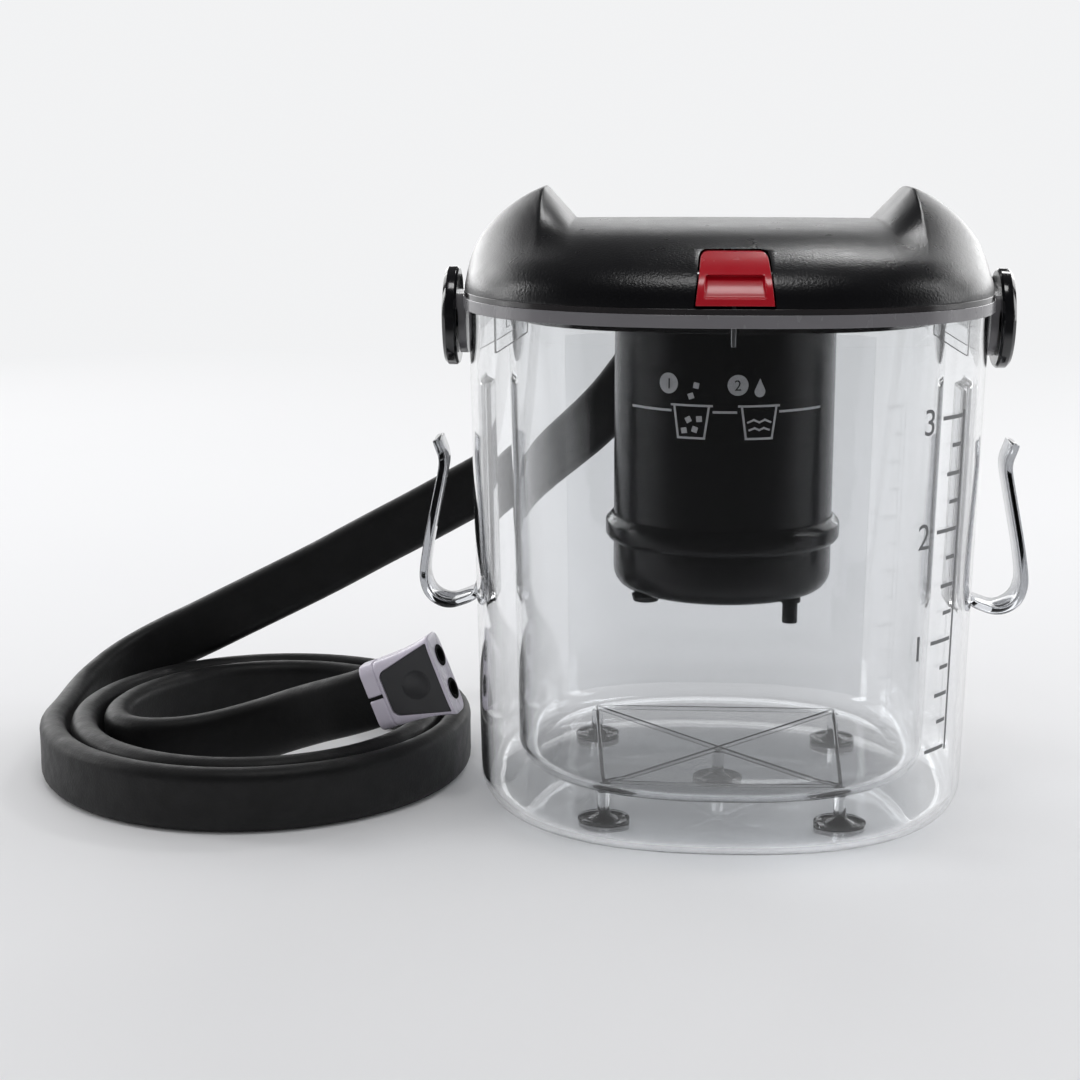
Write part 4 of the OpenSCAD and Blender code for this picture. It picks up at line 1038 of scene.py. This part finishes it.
@dataclass
class Lid:
    """The black saddle lid with its latch opening, pan, gland and inlet."""

    plan: Plan
    half_w: float = 111.5
    half_d: float = 107.5
    edge_z: float = 227.3
    wall: float = 3.0
    valley_h: float = 27.7
    valley_half: float = 66.0
    horn_h: float = 42.2
    horn_x: float = 78.5
    latch_low: float = 30.0
    latch_top: float = 26.0
    latch_gap: float = 0.7

    def horn_profile(self, x: float) -> float:
        """Returns the height of the cross-section through the horns, at a distance from the middle."""
        slope = (self.horn_h - self.valley_h) / (self.horn_x - self.valley_half)
        rising = self.valley_h + slope * (x - self.valley_half)
        rising = self.valley_h + eased_above(rising - self.valley_h, 0.35)
        out = max(0.0, min(1.0, (x - self.horn_x) / (self.half_w - self.horn_x)))
        falling = self.horn_h * (1 - out ** 1.2) ** (1 / 2.25)
        return falling - eased_above(falling - rising, 0.5) if x > self.valley_half else rising

    def rise(self, u: float, s: float) -> float:
        """Returns the lid's height above its lower edge, at shares of its width and depth."""
        dome = self.valley_h * (1 - abs(u) ** 3.4) ** 0.5
        horn = self.horn_profile(abs(u) * self.half_w)
        fall = 3 if s < 0 else 5
        return mix(dome, horn, smooth((s + 0.82) / 0.92)) * max(0.0, 1 - abs(s) ** fall) ** (1 / 2.2)

    def at(self, u: float, s: float, inset: float) -> Vector:
        """Returns a point of the lid's outer or inner face, in metres."""
        deep = (self.half_d - inset) * max(0.0, 1 - abs(u) ** self.plan.power) ** (1 / self.plan.power)
        high = self.rise(u, s) * (1 - inset / self.valley_h)
        return mm(u * (self.half_w - inset), s * deep, self.edge_z + high)

    def across(self) -> list[float]:
        """Returns the shares of the width at which the lid is drawn, close together at the ridges."""
        ridge, foot = self.horn_x / self.half_w, self.valley_half / self.half_w
        half = [0.035 * i for i in range(16)]
        half += [foot - 0.02, foot - 0.012, foot - 0.006, foot - 0.002, foot + 0.002, foot + 0.006, foot + 0.012]
        half += [mix(foot, ridge, share) for share in (0.3, 0.5, 0.7)]
        half += [ridge - 0.014, ridge - 0.008, ridge - 0.004, ridge, ridge + 0.004, ridge + 0.009, ridge + 0.016]
        half += [1 - (1 - ridge) * (1 - k / 18) ** 1.7 for k in range(2, 18)] + [0.9996, 1.0]
        return [-u for u in reversed(half[1:])] + half

    def cover(self, finishes: Finishes) -> None:
        """Makes the lid's cover."""
        across = self.across()
        along = [math.sin(math.radians(t)) for t in [-90, -89, -88] + list(range(-86, 87, 2)) + [88, 89, 90]]
        bm = bmesh.new()
        bmesh.ops.create_grid(bm, x_segments=len(across) - 1, y_segments=len(along) - 1, size=1.0)
        for corner in bm.verts:
            i = round((corner.co.x + 1) / 2 * (len(across) - 1))
            j = round((corner.co.y + 1) / 2 * (len(along) - 1))
            corner.co = self.at(across[i], along[j], 0)
        bmesh.ops.remove_doubles(bm, verts=bm.verts, dist=2e-6)
        bmesh.ops.recalc_face_normals(bm, faces=bm.faces)
        cover = piece("saddle_lid", bm, Body.LID, finishes.lid, ["lid_cover"], crease=48)
        wall = cover.modifiers.new("wall", "SOLIDIFY")
        wall.thickness = self.wall * MM
        wall.offset = -1.0
        wall.use_rim = True
        cut(cover, self.latch_cutter())
        cut(cover, self.box_cutter(mm(1.7, 84, 230), mm(30.3, 128, 244.6)))
        softened(cover, 0.5, 2, 50)

    def latch_cutter(self) -> bpy.types.Object:
        """Makes the solid that opens the lid for the latch."""
        bm = bmesh.new()
        gap = self.latch_gap
        low, top = self.latch_low / 2 + gap, self.latch_top / 2 + gap
        foot, head = self.edge_z - 6, self.edge_z + 20.5 + gap
        outline = [(-low, foot), (low, foot), (low, self.edge_z + 0.5), (top, head - 2.6), (top - 0.8, head - 0.8),
                   (top - 2.6, head), (2.6 - top, head), (0.8 - top, head - 0.8), (-top, head - 2.6),
                   (-low, self.edge_z + 0.5)]
        front = bm.faces.new([bm.verts.new(mm(x, -self.half_d - 5, z)) for x, z in outline])
        grown = bmesh.ops.extrude_face_region(bm, geom=[front])["geom"]
        bmesh.ops.translate(bm, verts=[g for g in grown if isinstance(g, bmesh.types.BMVert)], vec=mm(0, 45, 0))
        return cutter(bm)

    def box_cutter(self, low: Vector, high: Vector) -> bpy.types.Object:
        """Makes a box-shaped cutter between two corners."""
        bm = bmesh.new()
        bmesh.ops.create_cube(bm, size=1.0, matrix=Matrix.Translation((low + high) / 2)
                              @ Matrix.Diagonal((*(high - low), 1)))
        return cutter(bm)

    def build(self, finishes: Finishes) -> None:
        """Makes every piece of the lid and its latch."""
        self.cover(finishes)
        refined("lid_pan", finishes.strip, 0.5, spread=(0.35, self.edge_z - 2.4))
        refined("lid_seal", finishes.rubber, 0)
        refined("hose_gland", finishes.lid, 1.2)
        refined("power_inlet", finishes.lid, 0.4)
        Latch().build(finishes)
        for node in ("lid_screws", "latch_pin", "latch_springs"):
            dressed(node, finishes.steel)


@dataclass
class Latch:
    """The red lever in the lid's front, with its finger scoop, and the steel tongue below it."""

    lid_depth: float = 107.5
    lid_z: float = 227.3
    lid_h: float = 27.7
    low: float = 228.5
    top: float = 247.8
    low_half: float = 15.0
    top_half: float = 13.0
    corner: float = 2.6
    proud: float = 0.4
    thick: float = 3.6
    border: float = 2.5
    lip: float = 231.2
    shelf: float = 239.8
    pin: tuple[float, float, float] = (0.0, -91.0, 238.3)

    def face_y(self, z: float) -> float:
        """Returns the depth of the lid's front at a height."""
        share = max(0.0, min(1.0, (z - self.lid_z) / self.lid_h))
        return -self.lid_depth * (1 - share ** 2.2) ** (1 / 3)

    def half(self, z: float) -> float:
        """Returns half the lever's width at a height, narrower in its rounded top corners."""
        wide = mix(self.low_half, self.top_half, (z - self.low) / (self.top - self.corner - self.low))
        over = max(0.0, z - (self.top - self.corner))
        return wide - (self.corner - math.sqrt(max(0.0, self.corner ** 2 - over ** 2)))

    def scoop(self, x: float, z: float) -> float:
        """Returns how deep the finger scoop is at a place."""
        inside = smooth((self.half(z) - self.border - abs(x)) / 0.8)
        upwards = (z - self.lip) / (self.shelf - self.lip)
        return inside * smooth(upwards * 14) * smooth((1 - upwards) * 14) * (0.7 + 3.0 * max(0.0, upwards) ** 0.9)

    def lever(self, finishes: Finishes) -> None:
        """Makes the lever: its face, its thickness, and the barrel on the pin."""
        bm = bmesh.new()
        bmesh.ops.create_grid(bm, x_segments=64, y_segments=64, size=1.0)
        for corner in bm.verts:
            z = mix(self.low, self.top, (corner.co.y + 1) / 2)
            x = corner.co.x * self.half(z)
            corner.co = mm(x, self.face_y(z) - self.proud + self.scoop(x, z), z)
        grown = bmesh.ops.extrude_face_region(bm, geom=bm.faces[:])["geom"]
        for corner in (g for g in grown if isinstance(g, bmesh.types.BMVert)):
            z = corner.co.z / MM
            corner.co.y = (self.face_y(z) - self.proud + 5.0 + self.thick * 0.2) * MM
        hub = Matrix.Translation(mm(*self.pin))
        bmesh.ops.create_cone(bm, cap_ends=True, segments=32, radius1=3.6 * MM, radius2=3.6 * MM, depth=16 * MM,
                              matrix=hub @ Matrix.Rotation(math.pi / 2, 4, "Y"))
        bmesh.ops.create_cube(bm, size=1.0, matrix=hub @ Matrix.Translation(mm(0, -4.0, 0))
                              @ Matrix.Diagonal((16 * MM, 6 * MM, 6 * MM, 1)))
        lever = piece("latch_lever_finished", closed(bm), Body.LATCH, finishes.red, ["latch_lever"],
                      crease=38)
        softened(lever, 0.35, 2, 42)

    def tongue(self, finishes: Finishes) -> None:
        """Makes the narrow steel tongue that snaps under the rim."""
        bm = bmesh.new()
        bm.from_mesh(frame["nodes"]["latch_blade"].data)
        bmesh.ops.remove_doubles(bm, verts=bm.verts, dist=1e-6)
        bmesh.ops.scale(bm, vec=(0.36, 1, 1), verts=bm.verts)
        softened(piece("latch_tongue", bm, Body.LATCH, finishes.steel, ["latch_blade"]), 0.2)

    def build(self, finishes: Finishes) -> None:
        """Makes the lever and its tongue."""
        self.lever(finishes)
        self.tongue(finishes)


# ---------------------------------------------------------------- canister and pump


@dataclass
class Canister:
    """The pump canister that hangs under the lid, with its print."""

    radius: float = 47.75
    fill_z: float = 180.0

    def on_face(self, s: float, z: float) -> Vector:
        """Returns the place of a print's point on the canister."""
        angle = math.radians(-90) + s / self.radius
        out = self.radius + 0.1
        return mm(out * math.cos(angle), out * math.sin(angle), self.fill_z + z)

    def bucket(self, ink: Wrap, x: float) -> None:
        """Adds a plain bucket's outline."""
        ink.stroke([(x - 7.5, 2.5), (x - 5.6, -11), (x + 5.6, -11), (x + 7.5, 2.5)], 0.9)
        ink.stroke([(x - 8.6, 2.5), (x + 8.6, 2.5)], 0.9)

    def print_face(self, finishes: Finishes) -> None:
        """Prints the fill line, two numbered discs, ice in a bucket and a drop over water."""
        ink = Wrap(self.on_face)
        ink.bar(-46, -0.5, -24, 0.5)
        ink.bar(-6.2, -0.5, 3.8, 0.5)
        ink.bar(22, -0.5, 46, 0.5)
        for x in (-25.5, 4.0):
            ink.disc(x, 11.2, 4.3)
        self.bucket(ink, -15.2)
        self.bucket(ink, 13.2)
        for x, z, lean in ((-18.2, -8, 10), (-13.6, -7.4, -18), (-16.4, -3.4, 30), (-11.8, -3.0, 5),
                           (-15.4, 6.4, 20), (-13.2, 10.8, -12)):
            self.cube_mark(ink, x, z, lean)
        ink.stroke([(8.4, -4.2), (10.8, -3.2), (13.2, -4.2), (15.6, -3.2), (18.0, -4.2)], 0.8)
        ink.stroke([(9.0, -7.4), (11.2, -6.6), (13.2, -7.4), (15.2, -6.6), (17.4, -7.4)], 0.8)
        self.drop_mark(ink, 13.2, 8.5)
        ink.finish("canister_print", Body.LID, finishes.pale_ink)
        numbers = Wrap(self.raised_face)
        numbers.words("1", -26.7, 9.0, 6.2)
        numbers.words("2", 2.4, 9.0, 6.2)
        numbers.finish("canister_numbers", Body.LID, finishes.dark_ink)

    def raised_face(self, s: float, z: float) -> Vector:
        """Returns a place just in front of the pale print."""
        spot = self.on_face(s, z)
        out = Vector((spot.x, spot.y, 0)).normalized()
        return spot + out * 0.1 * MM

    def cube_mark(self, ink: Wrap, x: float, z: float, lean: float) -> None:
        """Adds one small square of ice, turned by some degrees."""
        turn = math.radians(lean)
        ink.shape([(x + 1.7 * math.cos(turn + q), z + 1.7 * math.sin(turn + q))
                   for q in (math.pi / 4, 3 * math.pi / 4, 5 * math.pi / 4, 7 * math.pi / 4)])

    def drop_mark(self, ink: Wrap, x: float, z: float) -> None:
        """Adds a water drop."""
        low = [(x + 2.3 * math.cos(math.radians(t)), z + 2.3 * math.sin(math.radians(t)))
               for t in range(150, 391, 20)]
        ink.shape(low + [(x, z + 5.4)])

    def build(self, finishes: Finishes) -> None:
        """Makes the canister, what hangs under it and what it holds."""
        for node in ("canister_body", "canister_band", "canister_base"):
            refined(node, finishes.canister, 0.5)
        refined("intake_nozzle", finishes.canister, 0.25)
        refined("base_foot", finishes.canister, 0.25)
        self.print_face(finishes)
        dressed("motor", finishes.steel)
        dressed("motor_mount", finishes.grey)
        dressed("pump_housing", finishes.grey)
        dressed("supply_tube", finishes.tube)
        dressed("return_tube", finishes.tube)
        dressed("impeller", finishes.tube)


# ---------------------------------------------------------------- handle and connector


@dataclass
class Handle:
    """The fold-back carrying handle."""

    reach: float = 142.0
    pivot_z: float = 214.6
    grip_len: float = 120.0
    grip_r: float = 10.0

    def grip(self, finishes: Finishes) -> None:
        """Makes the ribbed grip on the handle's bar."""
        half = self.grip_len / 2
        steps = 120
        profile = [(-half, 0.5), (-half, self.grip_r - 1.6), (-half + 0.5, self.grip_r - 0.6),
                   (-half + 1.6, self.grip_r)]
        for k in range(1, steps):
            x = mix(-half + 4, half - 4, k / steps)
            rib = 0.55 * max(0.0, math.sin(math.tau * (x + half) / 7.5)) if abs(x) < half - 8 else 0
            profile.append((x, self.grip_r - rib))
        profile += [(half - 1.6, self.grip_r), (half - 0.5, self.grip_r - 0.6), (half, self.grip_r - 1.6),
                    (half, 0.5)]
        loft = RingLoft([math.tau * i / 40 for i in range(40)])
        for x, radius in profile:
            loft.level(lambda turn: mm(x, self.reach + radius * math.cos(turn), self.pivot_z + radius * math.sin(turn)))
        piece("ribbed_grip", loft.capped(), Body.HANDLE, finishes.rubber, ["handle_grip"])

    def build(self, finishes: Finishes) -> None:
        """Makes every piece of the handle."""
        refined("handle_bail", finishes.gloss, 1.0)
        refined("hub_caps", finishes.gloss, 0.3)
        self.grip(finishes)


@dataclass
class Connector:
    """The quick connector on the hose's end, drawn along its own axis and laid on the coil."""

    at: tuple[float, float, float] = (-147.8, -4.6, 46.5)
    tip: float = -21.8
    turn: float = -10.6
    length: float = 29.0
    root: tuple[float, float] = (31.0, 15.5)
    end: tuple[float, float] = (38.0, 16.4)
    button_from: float = 1.9
    button_to: float = 27.3
    button_half: tuple[float, float] = (9.8, 16.0)
    dish_at: float = 16.5
    dish_r: float = 6.4
    port_y: float = 1.6
    port_gap: float = 8.0

    def laid(self, bm: bmesh.types.BMesh) -> bmesh.types.BMesh:
        """Carries a mesh from the connector's own axis, in millimetres, to its place."""
        matrix = (Matrix.Translation(mm(*self.at)) @ Matrix.Rotation(math.radians(self.turn), 4, "Z")
                  @ Matrix.Rotation(math.radians(self.tip), 4, "Y") @ Matrix.Scale(MM, 4))
        bmesh.ops.transform(bm, matrix=matrix, verts=bm.verts)
        return closed(bm)

    def thick(self, x: float) -> float:
        """Returns the shell's thickness at a distance along it."""
        return mix(self.root[1], self.end[1], x / self.length)

    def shell(self, finishes: Finishes) -> None:
        """Makes the flared shell with the button's pocket and the two bores."""
        loft = RingLoft([math.tau * i / 72 for i in range(72)])
        rounded = {0.0: 0.95, 0.3: 0.98, 0.9: 0.996, 28.3: 0.998, 28.75: 0.988, 29.0: 0.965}
        for x in (0.0, 0.3, 0.9, 2, 4, 7, 10, 13, 16, 18, 20, 22, 24, 25.5, 27, 28.3, 28.75, 29.0):
            wide = (self.root[0] + (self.end[0] - self.root[0]) * (x / self.length) ** 2.6) * rounded.get(x, 1.0)
            deep = self.thick(x) * rounded.get(x, 1.0)
            loft.level(lambda t: Vector((x, deep / 2 * math.copysign(abs(math.cos(t)) ** 0.42, math.cos(t)),
                                         wide / 2 * math.copysign(abs(math.sin(t)) ** 0.36, math.sin(t)))))
        shell = piece("connector_shell", self.laid(loft.capped()), Body.TANK, finishes.lilac,
                      ["connector_front", "connector_rear"])
        cut(shell, cutter(self.laid(self.plate(0.4, lambda x, z: -14.0, 11.0))))
        for side in (-1, 1):
            bore = bmesh.new()
            bmesh.ops.create_cone(bore, cap_ends=True, segments=48, radius1=4.0, radius2=4.0, depth=17.0,
                                  matrix=Matrix.Translation((23.0, self.port_y, side * self.port_gap))
                                  @ Matrix.Rotation(math.pi / 2, 4, "Y"))
            cut(shell, cutter(self.laid(bore)))
        softened(shell, 0.4, 3, 40)

    def plate(self, margin: float, face: Callable[[float, float], float], thickness: float) -> bmesh.types.BMesh:
        """Makes the button's rounded trapezoid as a plate.

        Args:
            margin: How far it stands out all round.
            face: Gives the depth of its front at a place.
            thickness: Its thickness.

        Returns:
            The plate, on the connector's own axis.
        """
        bm = bmesh.new()
        bmesh.ops.create_grid(bm, x_segments=60, y_segments=60, size=1.0)
        low, high = self.button_from - margin, self.button_to + margin
        for corner in bm.verts:
            share = (1 - math.cos((corner.co.x + 1) * math.pi / 2)) / 2
            x = mix(low, high, share)
            half = mix(*self.button_half, share) + margin
            for radius, inside in ((3.0, x - low), (0.9, high - x)):
                over = max(0.0, radius - inside)
                half -= radius - math.sqrt(max(0.0, radius * radius - over * over))
            z = corner.co.y * half
            corner.co = (x, face(x, z), z)
        grown = bmesh.ops.extrude_face_region(bm, geom=bm.faces[:])["geom"]
        back = max(corner.co.y for corner in bm.verts) + thickness
        for corner in (g for g in grown if isinstance(g, bmesh.types.BMVert)):
            corner.co.y = back
        return closed(bm)

    def button(self, finishes: Finishes) -> None:
        """Makes the release button with its thumb dish."""
        def face(x: float, z: float) -> float:
            away = math.hypot(x - self.dish_at, z)
            dish = 0.45 * smooth((self.dish_r - away) / 0.4) + 1.5 * max(0.0, 1 - (away / self.dish_r) ** 2)
            return -self.thick(x) / 2 + 0.55 + dish * 0.8
        plate = self.laid(self.plate(0, face, 1.0))
        button = piece("release_button_finished", plate, Body.BUTTON, finishes.button,
                       ["release_button"], crease=30)
        softened(button, 0.3, 2, 45)

    def liner(self, name: str, side: int, finishes: Finishes, replaces: Sequence[str]) -> None:
        """Makes the dark sleeve of one port.

        Args:
            name: The piece's name.
            side: 1 for the upper port, -1 for the lower one.
            finishes: The finishes.
            replaces: CAD nodes that it stands for.
        """
        loft = RingLoft([math.tau * i / 40 for i in range(40)])
        for x, radius in ((14.6, 3.9), (28.95, 3.9), (28.95, 4.9), (29.1, 5.0), (29.3, 4.9), (29.3, 3.3), (29.0, 3.1),
                          (16.0, 3.1)):
            loft.level(lambda t: Vector((x, self.port_y + radius * math.cos(t),
                                         side * self.port_gap + radius * math.sin(t))))
        piece(name, self.laid(loft.capped()), Body.TANK, finishes.bore, replaces)

    def build(self, finishes: Finishes) -> None:
        """Makes every piece of the connector."""
        refined("hose_collar", finishes.lilac, 0.8)
        self.shell(finishes)
        self.liner("port_liner_upper", 1, finishes, ["connector_ports", "port_seals"])
        self.liner("port_liner_lower", -1, finishes, [])
        self.button(finishes)


# ---------------------------------------------------------------- studio


@dataclass
class Studio:
    """The pale floor, the soft lamps and the camera."""

    camera_at: tuple[float, float, float] = (-0.0296, -0.8933, 0.2972)
    pitch: float = 11.466
    yaw: float = 3.223
    lens: float = 68.91
    glow: float = 0.9
    fill: float = 0.5
    front_glow: float = 0.05
    rear_glow: float = 0.95
    overhead: float = 0.06

    def camera(self) -> None:
        """Sets the camera at the photograph's place."""
        data = bpy.data.cameras.new("camera")
        data.sensor_width = 36.0
        data.lens = self.lens
        data.clip_start = 0.01
        data.clip_end = 50.0
        holder = bpy.data.objects.new("camera", data)
        holder.location = self.camera_at
        holder.rotation_euler = (math.radians(90 - self.pitch), 0, math.radians(self.yaw))
        bpy.context.scene.collection.objects.link(holder)
        bpy.context.scene.camera = holder

    def floor(self) -> None:
        """Makes the pale floor, which melts into the surround far from the machine, with painted shade in front of it:
        there mirrored rays see the floor near black, so the machine reflects a dark surround.
        """
        bm = bmesh.new()
        bmesh.ops.create_grid(bm, x_segments=1, y_segments=1, size=40.0)
        mesh = bpy.data.meshes.new("floor")
        bm.to_mesh(mesh)
        bm.free()
        floor = bpy.data.objects.new("floor", mesh)
        bpy.context.scene.collection.objects.link(floor)
        bench = NodeBench("pale floor")
        bench.set(Roughness=0.7, Specular_IOR_Level=0.0)
        pale = bench.tinted(bench.noise(3.0, 2.0), (0.78, 0.78, 0.79), (0.80, 0.80, 0.81))
        split = bench.add("ShaderNodeSeparateXYZ")
        bench.join(bench.place, split.inputs["Vector"])
        sharp, mirrored = self.rays(bench.tree)
        # painted shade: in front of the machine the floor is near black (0.05) and loses its glow for mirrored rays, so
        # glass and black parts reflect darkness there
        painted_dark_in_front = bench.product(bench.ranged(split.outputs["Y"], 1.0, 0.0, (-0.42, -0.20)), mirrored)
        bench.join(bench.tinted(painted_dark_in_front, (0.79, 0.79, 0.80), (0.05, 0.05, 0.05), low_from=pale),
                   bench.shader.inputs["Base Color"])
        distance = bench.add("ShaderNodeVectorMath")
        distance.operation = "LENGTH"
        bench.join(bench.place, distance.inputs[0])
        far = bench.product(bench.ranged(distance.outputs["Value"], 0.0, 1.0, (0.55, 1.9)), sharp)
        glow = bench.add("ShaderNodeEmission", Strength=self.glow)
        glow.inputs["Color"].default_value = (0.985, 0.99, 1.0, 1)
        blend = bench.add("ShaderNodeMixShader")
        bench.join(bench.product(far, bench.ranged(painted_dark_in_front, 1.0, 0.0, (0.0, 1.0))), blend.inputs["Fac"])
        bench.join(bench.shader.outputs["BSDF"], blend.inputs[1])
        bench.join(glow.outputs["Emission"], blend.inputs[2])
        bench.join(blend.outputs["Shader"], bench.output.inputs["Surface"])
        mesh.materials.append(bench.material)

    def rays(self, tree: bpy.types.NodeTree) -> tuple[bpy.types.NodeSocket, bpy.types.NodeSocket]:
        """Tells how a ray came from the camera.

        Args:
            tree: The nodes to work in.

        Returns:
            1 for a ray that met no dull surface on its way, and 1 for one of these that was mirrored.
        """
        path = tree.nodes.new("ShaderNodeLightPath")
        sharp = tree.nodes.new("ShaderNodeMath")
        sharp.operation = "SUBTRACT"
        sharp.use_clamp = True
        sharp.inputs[0].default_value = 1.0
        tree.links.new(path.outputs["Diffuse Depth"], sharp.inputs[1])
        mirrored = tree.nodes.new("ShaderNodeMath")
        mirrored.operation = "MULTIPLY"
        mirrored.use_clamp = True
        tree.links.new(path.outputs["Glossy Depth"], mirrored.inputs[0])
        tree.links.new(sharp.outputs["Value"], mirrored.inputs[1])
        return sharp.outputs["Value"], mirrored.outputs["Value"]

    def lamp(self, name: str, at: Sequence[float], aim: Sequence[float], size: tuple[float, float],
             power: float) -> None:
        """Adds one soft box.

        Args:
            name: Its name.
            at: Its place.
            aim: The point it faces.
            size: Its width and height.
            power: Its power in watts.
        """
        data = bpy.data.lights.new(name, "AREA")
        data.shape = "RECTANGLE"
        data.size, data.size_y = size
        data.energy = power
        holder = bpy.data.objects.new(name, data)
        holder.location = at
        holder.rotation_euler = (Vector(aim) - Vector(at)).to_track_quat("-Z", "Y").to_euler()
        bpy.context.scene.collection.objects.link(holder)

    def light(self) -> None:
        """Lights the machine from all sides and above, and sets a pale surround."""
        self.lamp("left box", (-1.55, 0.32, 0.57), (-0.05, 0, 0.2), (0.3, 0.9), 5.5)
        self.lamp("right box", (1.5, 0.2, 0.7), (0, 0, 0.15), (0.35, 1.2), 5)
        for side, name in ((-1, "left"), (1, "right")):
            self.lamp(f"rear {name} box", (side * 1.45, 1.3, 0.78), (0, 0, 0.25), (0.9, 1.1), 8)
            self.lamp(f"far {name} box", (side * 0.98, 1.9, 0.78), (0, 0, 0.25), (0.85, 1.0), 4.5)
        self.lamp("high rear box", (0.30, 0.95, 1.20), (0.05, 0, 0.25), (0.36, 0.16), 2.2)
        self.lamp("high box", (-0.03, -0.36, 1.85), (0, 0, 0.24), (0.72, 0.42), 6)
        self.lamp("rear box", (-0.1, 2.2, 0.5), (0, 0, 0.2), (3.4, 0.2), 4)
        world = bpy.data.worlds.new("surround")
        world.use_nodes = True
        self.surround(world.node_tree)
        bpy.context.scene.world = world

    def surround(self, tree: bpy.types.NodeTree) -> None:
        """Lays out the world: even for lighting and for the camera, darker in front for reflections.

        Args:
            tree: The world's nodes.
        """
        back = tree.nodes["Background"]
        back.inputs["Color"].default_value = (0.985, 0.99, 1.0, 1)
        place = tree.nodes.new("ShaderNodeTexCoord")
        split = tree.nodes.new("ShaderNodeSeparateXYZ")
        tree.links.new(place.outputs["Generated"], split.inputs["Vector"])
        slope = tree.nodes.new("ShaderNodeMapRange")
        for name, number in (("From Min", -0.1), ("From Max", 0.55), ("To Min", self.front_glow),
                             ("To Max", self.rear_glow)):
            slope.inputs[name].default_value = number
        tree.links.new(split.outputs["Y"], slope.inputs["Value"])
        overhead = tree.nodes.new("ShaderNodeMapRange")
        for name, number in (("From Min", 0.09), ("From Max", 0.32), ("To Min", 1.0), ("To Max", self.overhead)):
            overhead.inputs[name].default_value = number
        tree.links.new(split.outputs["Z"], overhead.inputs["Value"])
        both = tree.nodes.new("ShaderNodeMath")
        both.operation = "MULTIPLY"
        tree.links.new(slope.outputs["Result"], both.inputs[0])
        tree.links.new(overhead.outputs["Result"], both.inputs[1])
        plain = tree.nodes.new("ShaderNodeMix")
        plain.inputs["A"].default_value = self.fill
        plain.inputs["B"].default_value = self.glow
        sharp, mirrored = self.rays(tree)
        tree.links.new(sharp, plain.inputs["Factor"])
        choice = tree.nodes.new("ShaderNodeMix")
        tree.links.new(plain.outputs["Result"], choice.inputs["A"])
        tree.links.new(mirrored, choice.inputs["Factor"])
        tree.links.new(both.outputs["Value"], choice.inputs["B"])
        tree.links.new(choice.outputs["Result"], back.inputs["Strength"])

    def build(self) -> None:
        """Makes the whole studio."""
        self.camera()
        self.floor()
        self.light()
        bpy.context.scene.view_settings.view_transform = "Standard"


def main() -> None:
    """Builds the machine and its studio in order."""
    logging.basicConfig(level=logging.INFO, format="%(name)s: %(message)s")
    finishes = Finishes()
    plan = Plan()
    Studio().build()
    Connector().build(finishes)
    FlatHose().build(finishes)
    Tank(plan).build(finishes)
    Lid(plan).build(finishes)
    Canister().build(finishes)
    Handle().build(finishes)


if __name__ == "__main__":
    main()
